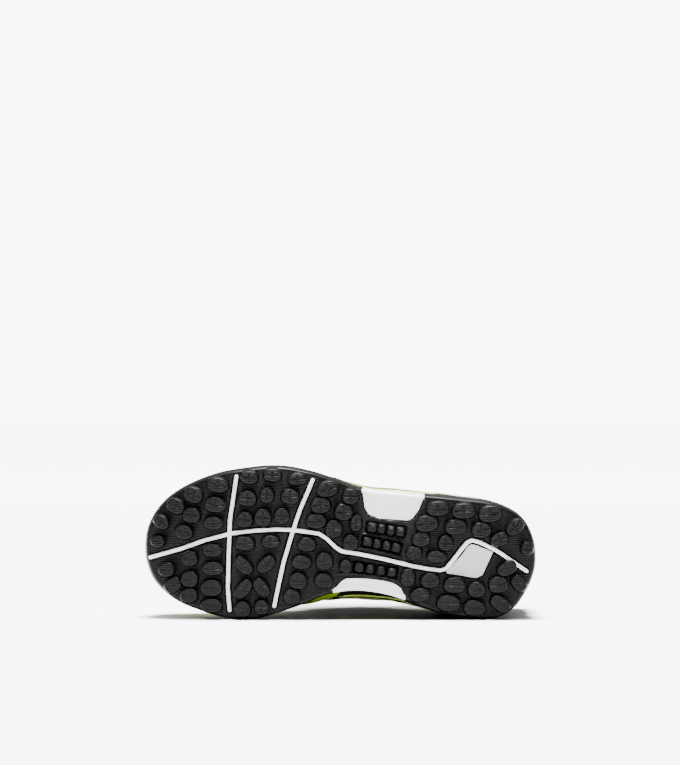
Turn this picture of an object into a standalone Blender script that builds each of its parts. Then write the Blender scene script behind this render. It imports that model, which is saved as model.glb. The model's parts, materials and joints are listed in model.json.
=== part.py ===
"""A left turf shoe, junior size, lying on its inner side with its tread facing -Y.

The shoe is worked out in its own frame and then laid down:
x runs forward from the back of the heel, y is positive to the outer side of the foot,
z is up from the plane that the flat lugs stand on. Shares along are of the sole's length,
from the heel. Shares across are of the half width there, positive to the outer side.
"""
import math

import bmesh
import bpy
import numpy as np
from mathutils import Matrix, Vector

# Driving sizes, in metres
SOLE_LENGTH = 0.218
BALL_WIDTH = 0.085
HEEL_WIDTH = 0.066
HEEL_HEIGHT = 0.072
INSTEP_HEIGHT = 0.082
THROAT_WIDTH = 0.034
OUTER, INNER = 1, -1

# Outsole
LUG_HEIGHT = 0.0045
LUG_ROOT = 0.0008
LUG_DRAFT = 0.0004
BASE = 0.0024
TOE_SPRING = 0.011
TOE_START = 0.74
HEEL_BEVEL = 0.0025
HEEL_START = 0.09
ARCH_RISE = 0.0025
ARCH_SHARES = (0.30, 0.60)
WIDENING = (0.30, 0.60)
CUP_WALL = 0.0026
CUP_STEP = 0.0008
CUP_HEEL = 0.0200
CUP_BALL = 0.0125
CUP_SLOPE = (0.18, 0.62)
STEP_HEIGHT = 0.55
EDGE_ROUND = 0.0020
POCKET_DEPTH = 0.0012
BLOCK_HEIGHT = 0.0030
BLOCK_SIDE = 0.0040
POCKET_WIDTH = 0.0066
GAP = 0.0003

# Midsole, its ribs and plates, and the insole
MID_HEEL = 0.0130
MID_BALL = 0.0075
RIB_WIDTH = 0.0025
RIB_PROUD = 0.0008
SHARP_BEND = math.radians(25)
FLAT_ANGLE = math.radians(0.2)
BEND_CUT = 0.0016
GROOVE = 0.0006
PLATE_SINK = 0.0004
INSOLE = 0.0030

# Upper, tongue and lace
WALL = 0.0022
COLLAR_PAD = 0.0060
PAD_HEIGHTS = (0.45, 0.80)
PAD_SHARES = (0.24, 0.37)
FULLNESS = 0.0085
THROAT_ARCH = 11.0
TONGUE = 0.0034
TONGUE_WIDTH = 0.034
TONGUE_CLEAR = 0.0008
TONGUE_SHARES = (0.300, 0.655)
TONGUE_TOP = 0.84
TONGUE_WIDENING = (0.40, 0.46)
TONGUE_ROWS = 10
TONGUE_COLUMNS = 6
EYELET_RADIUS = 0.0016
EYELET_INSET = 0.0070
LACE_WIDTH = 0.0060
LACE_THICK = 0.0014
LACE_CLEAR = 0.0027
LACE_RISE = 0.0020
LACE_SEAT = 0.12
LACE_STEPS = (0.0, 0.10, 0.25, 0.5, 0.75, 0.90, 1.0)

# Half widths of the sole: share along, outer side, inner side, as shares of the width there
OUTLINE = [
    (0.009, 0.182, 0.161), (0.037, 0.341, 0.345), (0.064, 0.406, 0.441), (0.119, 0.470, 0.505),
    (0.174, 0.488, 0.506), (0.257, 0.505, 0.458), (0.312, 0.511, 0.398), (0.367, 0.504, 0.332),
    (0.422, 0.480, 0.288), (0.477, 0.477, 0.272), (0.532, 0.496, 0.291), (0.587, 0.519, 0.345),
    (0.642, 0.541, 0.400), (0.697, 0.540, 0.445), (0.752, 0.519, 0.460), (0.807, 0.489, 0.445),
    (0.862, 0.438, 0.407), (0.917, 0.362, 0.351), (0.954, 0.284, 0.281), (0.982, 0.184, 0.191),
]

# Lugs: percent along, percent across, length and breadth in mm, turn in degrees
LUGS = [
    # toe, outer side
    (96.3, 60, 8, 6, 30), (92.8, 79, 9, 7, 22), (88.2, 84, 9.5, 7.5, 15), (81.9, 86, 11, 7, 8),
    (96.8, 10, 7, 5.5, 10), (90.1, 24, 9.5, 6.5, 12), (88.3, 50, 9, 7.5, 0), (82.3, 59, 11, 7.5, 5),
    (82.6, 34, 10, 6, 0),
    # ball, outer side
    (73.9, 89, 9, 6, 0), (68.0, 90, 9, 6, 0), (61.7, 88, 9, 5.5, -5), (74.1, 63, 9, 7.5, 0),
    (69.2, 66, 7, 7.5, 0), (63.3, 66, 9, 7.5, 0), (74.6, 37, 8, 7.5, 0), (70.0, 39, 8.5, 8.5, 0),
    (65.2, 42, 7.5, 7.5, 0),
    # waist, outer side
    (53.8, 86, 11, 7.5, -15), (47.9, 84, 8, 7.5, 0), (55.4, 61, 10, 7.5, -8), (49.5, 59, 9, 8, 0),
    (56.4, 40, 10, 7, -5), (51.8, 33, 8.5, 8.5, 0), (46.2, 46, 5.5, 8, 0), (47.4, 16, 7.5, 7.5, 0),
    # heel, outer side
    (25.6, 80, 11.5, 7, -5), (19.0, 80, 12, 7.5, -5), (12.2, 80, 12, 8, -8), (5.8, 74, 11, 7.5, -38),
    (2.4, 35, 6, 6, 0), (28.2, 54, 11.5, 8, -10), (20.8, 52, 11, 7.5, -8), (14.3, 50, 10, 7.5, -8),
    (9.0, 39, 9.5, 7, -18), (29.5, 28, 9, 7, -10), (23.3, 24, 7, 7.5, 0), (31.2, 5, 8, 6, -8),
    (25.4, 0, 10, 5.5, 0),
    # toe, inner side
    (88.3, -20, 8, 7, 0), (82.5, -4, 10, 6, 0), (94.2, -51, 8, 7, 0), (88.1, -54, 8.5, 8, 0),
    (82.3, -31, 11, 6.5, 0), (92.6, -78, 9, 7, -30), (82.4, -60, 11, 8, 0), (88.1, -81, 9, 7, -8),
    (82.2, -86, 11, 6.5, 0),
    # ball, inner side: the middle four are petals turned to one point
    (74.3, 7, 10, 6.5, 0), (67.8, 10, 9, 6, 0), (74.4, -23, 11, 6.5, 42), (68.7, -21, 10.5, 6.5, -42),
    (74.2, -56, 11, 6.5, -52), (69.6, -55, 10.5, 6.5, 52), (74.2, -85, 8, 7.5, 0),
    (69.4, -84, 7, 7, 0),
    # waist, inner side
    (58.5, 9, 9, 6.5, 0), (53.9, -20, 8.5, 8.5, 0), (59.7, -20, 10, 6.5, 0), (60.4, -53, 9, 8, 0),
    (53.9, -64, 9, 7, 0), (61.8, -79, 8.5, 7.5, 0), (48.4, -34, 6, 6, 0),
    # heel, inner side
    (32.5, -48, 7, 8.5, 0), (26.8, -45, 9.5, 7, -5), (20.6, -47, 11, 7.5, 0), (14.9, -51, 9, 7.5, 0),
    (9.4, -43, 10, 8, -10), (7.4, -16, 10, 6.5, -25), (3.4, -62, 9, 6.5, 50), (29.2, -77, 10, 6.5, -8),
    (21.9, -79, 12, 8, 0), (15.3, -81, 11, 7.5, 0), (8.5, -79, 11, 7, 32),
]
LUG_SIDES = 8
LUG_SQUARENESS = 2.5

# Routes of the pale ribs: percent along, percent across
LONG_RIB = [(98.3, -57), (90.4, -4), (84.6, 10), (78.2, 19), (72.0, 23), (66.3, 25), (62.2, 25.5),
            (55.6, 24), (53.7, 19), (51.3, 8), (49.6, 2), (45.4, -1), (38.5, -12), (31.2, -22),
            (27.1, -24), (24.3, -24), (22.8, -20), (17.7, 27), (16.5, 31), (14.4, 28), (9.9, 15),
            (1.4, -33)]
BALL_RIB = [(77.5, 93), (78.4, 35), (78.3, -27), (78.2, -59), (77.6, -90)]
WAIST_RIB = [(57.8, 92), (60.6, 52), (62.2, 25), (64.3, -20), (65.4, -59), (66.1, -89)]

# Pale plates: percent along, percent across, past 100 outside the edge
OUTER_PLATE = [(45.4, 130), (45.1, 100), (44.3, 72), (43.2, 62), (40.3, 57), (33.4, 56), (31.8, 61),
               (30.3, 75), (28.9, 100), (27.6, 130)]
INNER_PLATE = [(56.0, -135), (52.0, -99), (49.3, -72), (48.0, -66), (45.5, -66), (38.6, -67),
               (35.8, -69), (34.0, -76), (32.6, -98), (31.4, -135)]
HEEL_PLATE = [(22.9, -29), (22.7, -20), (17.7, 27), (16.5, 31), (14.4, 28), (10.6, 17), (13.3, -28),
              (15.0, -34)]

# Rows of square blocks in pockets: first and last block, percent along and across
BLOCK_ROWS = [((42.1, 42), (34.9, 38)), ((43.1, 19), (35.8, 12)), ((45.0, -37), (36.6, -42))]
BLOCKS_IN_ROW = 4

# Top line of the collar: station, share along, share of the heel's width, share of its height
COLLAR = [(0.00, 0.020, 0.00, 1.00), (0.05, 0.046, 0.30, 0.97), (0.12, 0.115, 0.43, 0.87),
          (0.20, 0.195, 0.44, 0.81), (0.28, 0.275, 0.41, 0.83), (0.34, 0.338, 0.36, 0.95)]
# Edge of the throat: station, share along, share of its half width; its height is the crown's
THROAT = [(0.40, 0.405, 0.98), (0.48, 0.475, 0.90), (0.56, 0.545, 0.78), (0.61, 0.590, 0.66),
          (0.640, 0.618, 0.48), (0.655, 0.632, 0.28)]
# Ridge of the vamp and toe: station, share along
RIDGE = [(0.665, 0.638), (0.75, 0.710), (0.85, 0.778), (0.93, 0.822), (1.00, 0.850)]
# Crown of the instep, seen from the side: share along, share of the instep's height
CROWN = [(0.28, 1.18), (0.34, 1.09), (0.42, 0.98), (0.50, 0.87), (0.58, 0.765), (0.66, 0.670),
         (0.74, 0.595), (0.82, 0.530), (0.86, 0.490), (0.95, 0.42)]
# Fullness of the upper past its foot: station, outer side, inner side
BULGE = [(0.0, 0.30, 0.30), (0.20, 0.42, 0.40), (0.29, 0.55, 0.62), (0.39, 0.62, 1.00),
         (0.48, 0.58, 0.96), (0.56, 0.48, 0.66), (0.65, 0.36, 0.36), (0.80, 0.26, 0.26),
         (1.0, 0.16, 0.16)]
EYELET_ROWS = [0.595, 0.555, 0.510, 0.465, 0.420]
STATION_COUNT = 26
EXTRA_STATIONS = [0.640, 0.655, 0.665]
UPPER_ROWS = 8
SQUARENESS = 2.6
SWELL_HEIGHT = 0.45
SMOOTH_ANGLE = math.radians(35)

# What each piece weighs for its volume, kg per cubic metre, to find the balance point
DENSITY = {"outsole": 1150, "midsole": 200, "insole": 150, "upper": 550, "tongue": 250, "lace": 600}

COLOURS = {
    "outsole": ((0.020, 0.020, 0.022), 0.45), "midsole": ((0.80, 0.81, 0.82), 0.55),
    "insole": ((0.05, 0.05, 0.05), 0.90), "upper": ((0.30, 0.42, 0.01), 0.50),
    "tongue": ((0.03, 0.03, 0.03), 0.80), "lace": ((0.04, 0.04, 0.04), 0.85),
}


def through(rows, column, share):
    """Smooth curve through a table's rows, read at one share."""
    at = [row[0] for row in rows]
    value = [row[column] for row in rows]
    if share <= at[0]:
        return value[0]
    if share >= at[-1]:
        return value[-1]
    i = int(np.searchsorted(at, share, side="right")) - 1
    step = at[i + 1] - at[i]
    slope = np.gradient(value, at)
    t = (share - at[i]) / step
    return ((2 * t**3 - 3 * t**2 + 1) * value[i] + (t**3 - 2 * t**2 + t) * step * slope[i]
            + (3 * t**2 - 2 * t**3) * value[i + 1] + (t**3 - t**2) * step * slope[i + 1])


def ease(value, start, end):
    t = min(1.0, max(0.0, (value - start) / (end - start)))
    return t * t * (3 - 2 * t)


def half_width(share, side):
    """Half width of the sole, rounded off at both ends."""
    share = min(1.0, max(0.0, share))
    column = 1 if side == OUTER else 2
    full = [(row[0], row[column] / math.sqrt(row[0] * (1 - row[0]))) for row in OUTLINE]
    width = HEEL_WIDTH + (BALL_WIDTH - HEEL_WIDTH) * ease(share, *WIDENING)
    return width * through(full, 1, share) * math.sqrt(share * (1 - share))


def edge(share, side, inset):
    """Point of the sole's outline in plan, moved inwards by inset."""
    if share <= 0.0:
        return Vector((inset, 0.0))
    if share >= 1.0:
        return Vector((SOLE_LENGTH - inset, 0.0))
    step = min(0.004, share / 2, (1 - share) / 2)
    ahead = Vector(((share + step) * SOLE_LENGTH, side * half_width(share + step, side)))
    behind = Vector(((share - step) * SOLE_LENGTH, side * half_width(share - step, side)))
    along = (ahead - behind).normalized()
    outward = Vector((-along.y, along.x)) * side
    return Vector((share * SOLE_LENGTH, side * half_width(share, side))) - inset * outward


def outward_at(share, side):
    return (edge(share, side, 0.0) - edge(share, side, 0.001)).normalized()


def plan(along, across):
    """Point in plan from percent along and percent across."""
    share = along / 100
    side = OUTER if across >= 0 else INNER
    return Vector((share * SOLE_LENGTH, across / 100 * half_width(share, side)))


def underside(x):
    """Height of the outsole's face between the lugs."""
    share = x / SOLE_LENGTH
    toe = TOE_SPRING * max(0.0, (share - TOE_START) / (1 - TOE_START)) ** 2
    heel = HEEL_BEVEL * max(0.0, (HEEL_START - share) / HEEL_START) ** 2
    arch = 0.0
    start, end = ARCH_SHARES
    if start < share < end:
        arch = ARCH_RISE * math.sin(math.pi * (share - start) / (end - start)) ** 2
    return LUG_HEIGHT + toe + heel + arch


def cup_top(x):
    return underside(x) + CUP_HEEL + (CUP_BALL - CUP_HEEL) * ease(x / SOLE_LENGTH, *CUP_SLOPE)


def midsole_top(x):
    return underside(x) + MID_HEEL + (MID_BALL - MID_HEEL) * ease(x / SOLE_LENGTH, *CUP_SLOPE)


def crown(x):
    return INSTEP_HEIGHT * through(CROWN, 1, x / SOLE_LENGTH)


def instep_arch(x, y):
    """Surface over the instep that throat edge, tongue and lace all follow."""
    return crown(x) - THROAT_ARCH * y * y


def instep_normal(x, y):
    step = 0.001
    rise_x = (instep_arch(x + step, y) - instep_arch(x - step, y)) / (2 * step)
    rise_y = (instep_arch(x, y + step) - instep_arch(x, y - step)) / (2 * step)
    return Vector((-rise_x, -rise_y, 1)).normalized()


def stations():
    """Shares along the sole, close together at toe and heel."""
    even = [(1 - math.cos(math.pi * i / STATION_COUNT)) / 2 for i in range(STATION_COUNT + 1)]
    spread = [share for share in even if all(abs(share - s) > 0.012 for s in EXTRA_STATIONS)]
    return sorted(spread + EXTRA_STATIONS)


def perimeter():
    """Stations all round the sole: outer side forward, inner side back."""
    shares = stations()
    return [(s, OUTER) for s in shares] + [(s, INNER) for s in reversed(shares[1:-1])]


def ring(inset, height):
    """Points round the sole at one inset, each at the height that belongs to its x."""
    points = []
    for share, side in perimeter():
        point = edge(share, side, inset)
        points.append(Vector((point.x, point.y, height(point.x))))
    return points


def add_object(name, mesh, collection):
    thing = bpy.data.objects.new(name, mesh)
    collection.objects.link(thing)
    return thing


def mesh_from(name, bm):
    bmesh.ops.triangulate(bm, faces=bm.faces[:])
    bmesh.ops.recalc_face_normals(bm, faces=bm.faces[:])
    mesh = bpy.data.meshes.new(name)
    bm.to_mesh(mesh)
    bm.free()
    return mesh


def close_ring(bm, ring_verts):
    """Cap a ring of the sole by strips across it, from side to side."""
    count = len(ring_verts)
    bm.faces.new((ring_verts[0], ring_verts[1], ring_verts[-1]))
    for i in range(1, count // 2 - 1):
        bm.faces.new((ring_verts[i], ring_verts[i + 1], ring_verts[-i - 1], ring_verts[-i]))
    middle = count // 2
    bm.faces.new((ring_verts[middle - 1], ring_verts[middle], ring_verts[middle + 1]))


def stacked(name, rings, collection, cap=close_ring):
    """Solid through rings of as many points, capped at its first and last ring."""
    bm = bmesh.new()
    rows = [[bm.verts.new(point) for point in ring_points] for ring_points in rings]
    for low, high in zip(rows, rows[1:]):
        for i in range(len(low)):
            j = (i + 1) % len(low)
            bm.faces.new((low[i], low[j], high[j], high[i]))
    cap(bm, rows[0])
    cap(bm, rows[-1])
    return add_object(name, mesh_from(name, bm), collection)


def face_cap(bm, ring_verts):
    bm.faces.new(ring_verts)


def prism(name, outline, low, high, collection):
    """Upright solid on a plan outline, with low and high given as functions of x."""
    rings = [[Vector((p.x, p.y, height(p.x))) for p in outline] for height in (low, high)]
    return stacked(name, rings, collection, cap=face_cap)


def shrunk(outline, amount):
    """Plan outline moved inwards by amount, corner by corner."""
    count = len(outline)
    area = sum(outline[i].x * outline[(i + 1) % count].y - outline[(i + 1) % count].x * outline[i].y
               for i in range(count))
    turn = 1 if area > 0 else -1
    moved = []
    for i in range(count):
        before = (outline[i] - outline[i - 1]).normalized()
        after = (outline[(i + 1) % count] - outline[i]).normalized()
        inward_a = Vector((-before.y, before.x)) * turn
        inward_b = Vector((-after.y, after.x)) * turn
        bisector = (inward_a + inward_b).normalized()
        moved.append(outline[i] + bisector * amount / max(0.3, bisector.dot(inward_a)))
    return moved


def rounded_route(rows):
    """Plan route with each sharp bend cut into two short steps."""
    points = [plan(*row) for row in rows]
    route = [points[0]]
    for before, corner, after in zip(points, points[1:], points[2:]):
        if abs((corner - before).angle_signed(after - corner)) < SHARP_BEND:
            route.append(corner)
            continue
        short = min(BEND_CUT, (corner - before).length / 3, (after - corner).length / 3)
        route.append(corner + (before - corner).normalized() * short)
        route.append(corner + (after - corner).normalized() * short)
    route.append(points[-1])
    return route


def strip_outline(route, width):
    """Outline of a strip along a route, with round ends."""
    left, right = [], []
    for i, point in enumerate(route):
        along = (route[min(i + 1, len(route) - 1)] - route[max(i - 1, 0)]).normalized()
        across = Vector((-along.y, along.x)) * width / 2
        left.append(point + across)
        right.append(point - across)
    ends = []
    for point, along in ((route[-1], route[-1] - route[-2]), (route[0], route[0] - route[1])):
        start = math.atan2(along.y, along.x)
        angles = [start + math.pi / 2 - math.pi * k / 4 for k in (1, 2, 3)]
        ends.append([point + Vector((math.cos(a), math.sin(a))) * width / 2 for a in angles])
    return left + ends[0] + right[::-1] + ends[1]


def boolean(target, cutter, operation, collection):
    """Cut or join one solid with another and keep the result as its mesh.

    The many small lugs and grooves leave open edges with the exact solver, so all cuts use the
    manifold one, on closed meshes.
    """
    modifier = target.modifiers.new(operation.lower(), "BOOLEAN")
    modifier.operation = operation
    modifier.solver = "MANIFOLD"
    modifier.object = cutter
    depsgraph = bpy.context.evaluated_depsgraph_get()
    result = bpy.data.meshes.new_from_object(target.evaluated_get(depsgraph))
    target.modifiers.clear()
    target.data = result
    collection.objects.unlink(cutter)
    bpy.data.objects.remove(cutter)


def merge_flat(thing):
    """Merge the slivers that many cuts leave in faces that are flat."""
    bm = bmesh.new()
    bm.from_mesh(thing.data)
    bmesh.ops.dissolve_limit(bm, angle_limit=FLAT_ANGLE, verts=bm.verts[:], edges=bm.edges[:])
    bmesh.ops.triangulate(bm, faces=bm.faces[:])
    bm.to_mesh(thing.data)
    bm.free()


def lug_rings(center, length, breadth, turn):
    """Oval lug: its root in the base, then its tip."""
    rings = []
    turned = Matrix.Rotation(math.radians(turn), 2)
    for grow, height in ((LUG_DRAFT, LUG_ROOT), (-LUG_DRAFT, -LUG_HEIGHT)):
        points = []
        for k in range(LUG_SIDES):
            angle = 2 * math.pi * (k + 0.5) / LUG_SIDES
            c, s = math.cos(angle), math.sin(angle)
            reach = (abs(c) ** LUG_SQUARENESS + abs(s) ** LUG_SQUARENESS) ** (-1 / LUG_SQUARENESS)
            spot = center + turned @ Vector((c * reach * (length / 2 + grow),
                                             s * reach * (breadth / 2 + grow)))
            points.append(Vector((spot.x, spot.y, underside(spot.x) + height)))
        rings.append(points)
    return rings


def many(name, ring_sets, collection):
    """One mesh of many separate solids, each through its own rings."""
    bm = bmesh.new()
    for rings in ring_sets:
        rows = [[bm.verts.new(point) for point in points] for points in rings]
        for low, high in zip(rows, rows[1:]):
            for i in range(len(low)):
                j = (i + 1) % len(low)
                bm.faces.new((low[i], low[j], high[j], high[i]))
        bm.faces.new(rows[0])
        bm.faces.new(rows[-1])
    return add_object(name, mesh_from(name, bm), collection)


def block_places():
    """Centre of each square block, with the direction of its row."""
    places = []
    for first, last in BLOCK_ROWS:
        start, end = plan(*first), plan(*last)
        for k in range(BLOCKS_IN_ROW):
            places.append((start.lerp(end, k / (BLOCKS_IN_ROW - 1)), (end - start).normalized()))
    return places


def box_outline(center, along, length, width):
    across = Vector((-along.y, along.x))
    return [center + along * a * length / 2 + across * b * width / 2
            for a, b in ((1, 1), (-1, 1), (-1, -1), (1, -1))]


def make_envelope(name, collection):
    """The cup sole's outer form, with a rounded edge below and a step in its side."""
    def at(share_up, extra=0.0):
        return lambda x: underside(x) + (cup_top(x) - underside(x)) * share_up + extra
    rings = [ring(EDGE_ROUND, at(0.0)), ring(0.0, at(0.0, EDGE_ROUND)), ring(0.0, at(STEP_HEIGHT)),
             ring(CUP_STEP, at(STEP_HEIGHT, CUP_STEP)), ring(CUP_STEP, at(1.0))]
    return stacked(name, rings, collection)


def make_outsole(parts, cutters):
    """Black rubber cup: base, side wall, lugs, grooves for the ribs and windows for the plates."""
    sole = make_envelope("outsole", parts)
    inside = stacked("cut_inside", [ring(CUP_WALL, lambda x: underside(x) + BASE),
                                    ring(CUP_WALL, lambda x: cup_top(x) + CUP_WALL)], cutters)
    boolean(sole, inside, "DIFFERENCE", cutters)
    for first, last in BLOCK_ROWS:
        start, end = plan(*first), plan(*last)
        along = (end - start).normalized()
        length = (end - start).length + POCKET_WIDTH
        outline = box_outline(start.lerp(end, 0.5), along, length, POCKET_WIDTH)
        pocket = prism("cut_pocket", outline, lambda x: underside(x) - LUG_HEIGHT,
                       lambda x: underside(x) + POCKET_DEPTH, cutters)
        boolean(sole, pocket, "DIFFERENCE", cutters)
    rings = [lug_rings(plan(a, c), length / 1000, breadth / 1000, turn)
             for a, c, length, breadth, turn in LUGS]
    boolean(sole, many("add_lugs", rings, cutters), "UNION", cutters)
    rings = []
    for center, along in block_places():
        outline = box_outline(center, along, BLOCK_SIDE, BLOCK_SIDE)
        rings.append([[Vector((p.x, p.y, underside(p.x) + height)) for p in outline]
                      for height in (POCKET_DEPTH + LUG_ROOT / 2, -BLOCK_HEIGHT)])
    boolean(sole, many("add_blocks", rings, cutters), "UNION", cutters)
    for rows in (LONG_RIB, BALL_RIB, WAIST_RIB):
        outline = strip_outline(rounded_route(rows), RIB_WIDTH + 2 * GROOVE)
        groove = prism("cut_groove", outline, lambda x: underside(x) - 2 * LUG_HEIGHT,
                       lambda x: underside(x) + 2 * BASE, cutters)
        boolean(sole, groove, "DIFFERENCE", cutters)
    through_all = SOLE_LENGTH
    for rows, top in ((OUTER_PLATE, through_all), (INNER_PLATE, through_all), (HEEL_PLATE, 2 * BASE)):
        outline = [plan(*row) for row in rows]
        window = prism("cut_window", outline, lambda x: underside(x) - 2 * LUG_HEIGHT,
                       lambda x, top=top: underside(x) + top, cutters)
        boolean(sole, window, "DIFFERENCE", cutters)
    merge_flat(sole)
    return sole


def make_midsole(parts, cutters):
    """White foam body in the cup, with its ribs and plates let through the outsole."""
    floor_gap = BASE + GAP
    body = stacked("midsole", [ring(CUP_WALL + GAP, lambda x: underside(x) + floor_gap),
                               ring(CUP_WALL + GAP, midsole_top)], parts)
    for rows in (OUTER_PLATE, INNER_PLATE):
        plate = make_envelope("add_plate", cutters)
        outline = shrunk([plan(*row) for row in rows], GAP)
        keep = prism("keep_plate", outline, lambda x: underside(x) + PLATE_SINK,
                     lambda x: underside(x) + SOLE_LENGTH, cutters)
        boolean(plate, keep, "INTERSECT", cutters)
        hollow = stacked("cut_hollow", [ring(CUP_WALL, lambda x: midsole_top(x) - GAP),
                                        ring(CUP_WALL, lambda x: cup_top(x) + CUP_WALL)], cutters)
        boolean(plate, hollow, "DIFFERENCE", cutters)
        boolean(body, plate, "UNION", cutters)
    outline = shrunk([plan(*row) for row in HEEL_PLATE], GAP)
    badge = prism("add_badge", outline, lambda x: underside(x) + PLATE_SINK,
                  lambda x: underside(x) + 2 * BASE, cutters)
    boolean(body, badge, "UNION", cutters)
    for rows in (LONG_RIB, BALL_RIB, WAIST_RIB):
        outline = strip_outline(rounded_route(rows), RIB_WIDTH)
        rib = prism("add_rib", outline, lambda x: underside(x) - RIB_PROUD,
                    lambda x: underside(x) + BASE + 2 * GAP, cutters)
        boolean(body, rib, "UNION", cutters)
    merge_flat(body)
    return body


def make_insole(parts):
    """Flat sock liner on the midsole, clear of the upper's wall."""
    inset = CUP_WALL + WALL + 4 * GAP
    return stacked("insole", [ring(inset, lambda x: midsole_top(x) + GAP),
                              ring(inset, lambda x: midsole_top(x) + GAP + INSOLE)], parts)


def top_point(share, side):
    """Top end of the upper's section: collar line, then throat edge, then the vamp's ridge."""
    rows = [(s, x * SOLE_LENGTH, w * HEEL_WIDTH, h * HEEL_HEIGHT) for s, x, w, h in COLLAR]
    for s, x, w in THROAT:
        half = w * THROAT_WIDTH / 2
        rows.append((s, x * SOLE_LENGTH, half, instep_arch(x * SOLE_LENGTH, half)))
    rows += [(s, x * SOLE_LENGTH, 0.0, crown(x * SOLE_LENGTH)) for s, x in RIDGE]
    x, across, height = (through(rows, column, share) for column in (1, 2, 3))
    if share >= RIDGE[0][0]:
        across, height = 0.0, crown(x)
    return Vector((x, side * max(0.0, across), height))


def free_height(share, side):
    """Share of the section's height at which the upper comes clear of the cup's wall."""
    foot = edge(share, side, CUP_WALL + GAP)
    low = midsole_top(foot.x) + GAP
    return (cup_top(foot.x) + GAP - low) / (top_point(share, side).z - low)


def upper_point(share, side, height):
    """Outer face of the upper: height is 0 at the foot of its wall and 1 at its top line."""
    foot = edge(share, side, CUP_WALL + GAP)
    low = midsole_top(foot.x) + GAP
    top = top_point(share, side)
    inwards = 1 - max(0.0, 1 - height ** SQUARENESS) ** (1 / SQUARENESS)
    free = free_height(share, side)
    out = FULLNESS * through(BULGE, 1 if side == OUTER else 2, share)
    swell = min(1.0, max(0.0, height - free) / (1 - free) / SWELL_HEIGHT)
    girth = foot + outward_at(share, side) * out * math.sin(math.pi / 2 * swell)
    spot = girth.lerp(top.xy, inwards)
    return Vector((spot.x, spot.y, low + (top.z - low) * height))


def section_heights(share, side):
    """Heights of one section's points: foot, cup edge, then closer together to the top."""
    free = free_height(share, side)
    turns = [math.pi / 2 * i / UPPER_ROWS for i in range(UPPER_ROWS + 1)]
    return [0.0] + [free + (1 - free) * math.sin(turn) for turn in turns]


def upper_frame(share, side, height):
    """A point of the upper's outer face with its outward direction."""
    step = 0.004
    here = upper_point(share, side, height)
    along = upper_point(share + step, side, height) - upper_point(share - step, side, height)
    up = here - upper_point(share, side, height - step)
    return here, along.cross(up).normalized() * -side


def make_upper(parts, cutters):
    """Hollow upper: one wall with a padded collar, open below, at the collar and at the throat."""
    bm = bmesh.new()
    columns = [[bm.verts.new(upper_point(share, side, height))
                for height in section_heights(share, side)] for share, side in perimeter()]
    count = len(columns)
    for i in range(count):
        j = (i + 1) % count
        for k in range(UPPER_ROWS + 1):
            bm.faces.new((columns[i][k], columns[i][k + 1], columns[j][k + 1], columns[j][k]))
    padding = []
    for share, side in perimeter():
        for height in section_heights(share, side):
            pad = ease(height, *PAD_HEIGHTS) * (1 - ease(share, *PAD_SHARES))
            padding.append((WALL + (COLLAR_PAD - WALL) * pad) / COLLAR_PAD)
    mesh = bpy.data.meshes.new("upper")
    bm.to_mesh(mesh)
    bm.free()
    upper = add_object("upper", mesh, parts)
    group = upper.vertex_groups.new(name="padding")
    for index, weight in enumerate(padding):
        group.add([index], weight, "REPLACE")
    weld = upper.modifiers.new("weld", "WELD")
    weld.merge_threshold = 0.00002
    solid = upper.modifiers.new("wall", "SOLIDIFY")
    solid.thickness = COLLAR_PAD
    solid.offset = -1.0
    solid.vertex_group = group.name
    depsgraph = bpy.context.evaluated_depsgraph_get()
    upper.data = bpy.data.meshes.new_from_object(upper.evaluated_get(depsgraph))
    upper.modifiers.clear()
    upper.vertex_groups.clear()
    for share, side, height in eyelet_places():
        here, outward = upper_frame(share, side, height)
        bpy.ops.mesh.primitive_cylinder_add(vertices=8, radius=EYELET_RADIUS, depth=4 * WALL)
        punch = bpy.context.object
        punch.data.transform(Matrix.Translation(here) @ outward.to_track_quat("Z", "Y").to_matrix()
                             .to_4x4())
        punch.users_collection[0].objects.unlink(punch)
        cutters.objects.link(punch)
        boolean(upper, punch, "DIFFERENCE", cutters)
    return upper


def eyelet_height(share, side):
    """Where the section has come within the eyelets' inset of the throat edge."""
    top = upper_point(share, side, 1.0)
    height = 1.0
    while (upper_point(share, side, height) - top).length < EYELET_INSET:
        height -= 0.002
    return height


def eyelet_places():
    return [(share, side, eyelet_height(share, side))
            for share in EYELET_ROWS for side in (OUTER, INNER)]


def make_tongue(parts):
    """Padded tongue under the throat, on the same arch as the throat's edges."""
    bm = bmesh.new()
    first, last = TONGUE_SHARES
    rows = []
    for i in range(TONGUE_ROWS + 1):
        share = first + (last - first) * i / TONGUE_ROWS
        x = share * SOLE_LENGTH
        half = TONGUE_WIDTH / 2 * (TONGUE_TOP + (1 - TONGUE_TOP) * ease(share, *TONGUE_WIDENING))
        depth = WALL + TONGUE_CLEAR
        row = []
        for k in range(TONGUE_COLUMNS + 1):
            y = half * (2 * k / TONGUE_COLUMNS - 1)
            row.append(bm.verts.new((x, y, instep_arch(x, y) - depth)))
        rows.append(row)
    for low, high in zip(rows, rows[1:]):
        for k in range(TONGUE_COLUMNS):
            bm.faces.new((low[k], high[k], high[k + 1], low[k + 1]))
    bmesh.ops.recalc_face_normals(bm, faces=bm.faces[:])
    if sum(face.normal.z for face in bm.faces) < 0:
        bmesh.ops.reverse_faces(bm, faces=bm.faces[:])
    mesh = bpy.data.meshes.new("tongue")
    bm.to_mesh(mesh)
    bm.free()
    tongue = add_object("tongue", mesh, parts)
    solid = tongue.modifiers.new("wall", "SOLIDIFY")
    solid.thickness = TONGUE
    solid.offset = -1.0
    return tongue


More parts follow.
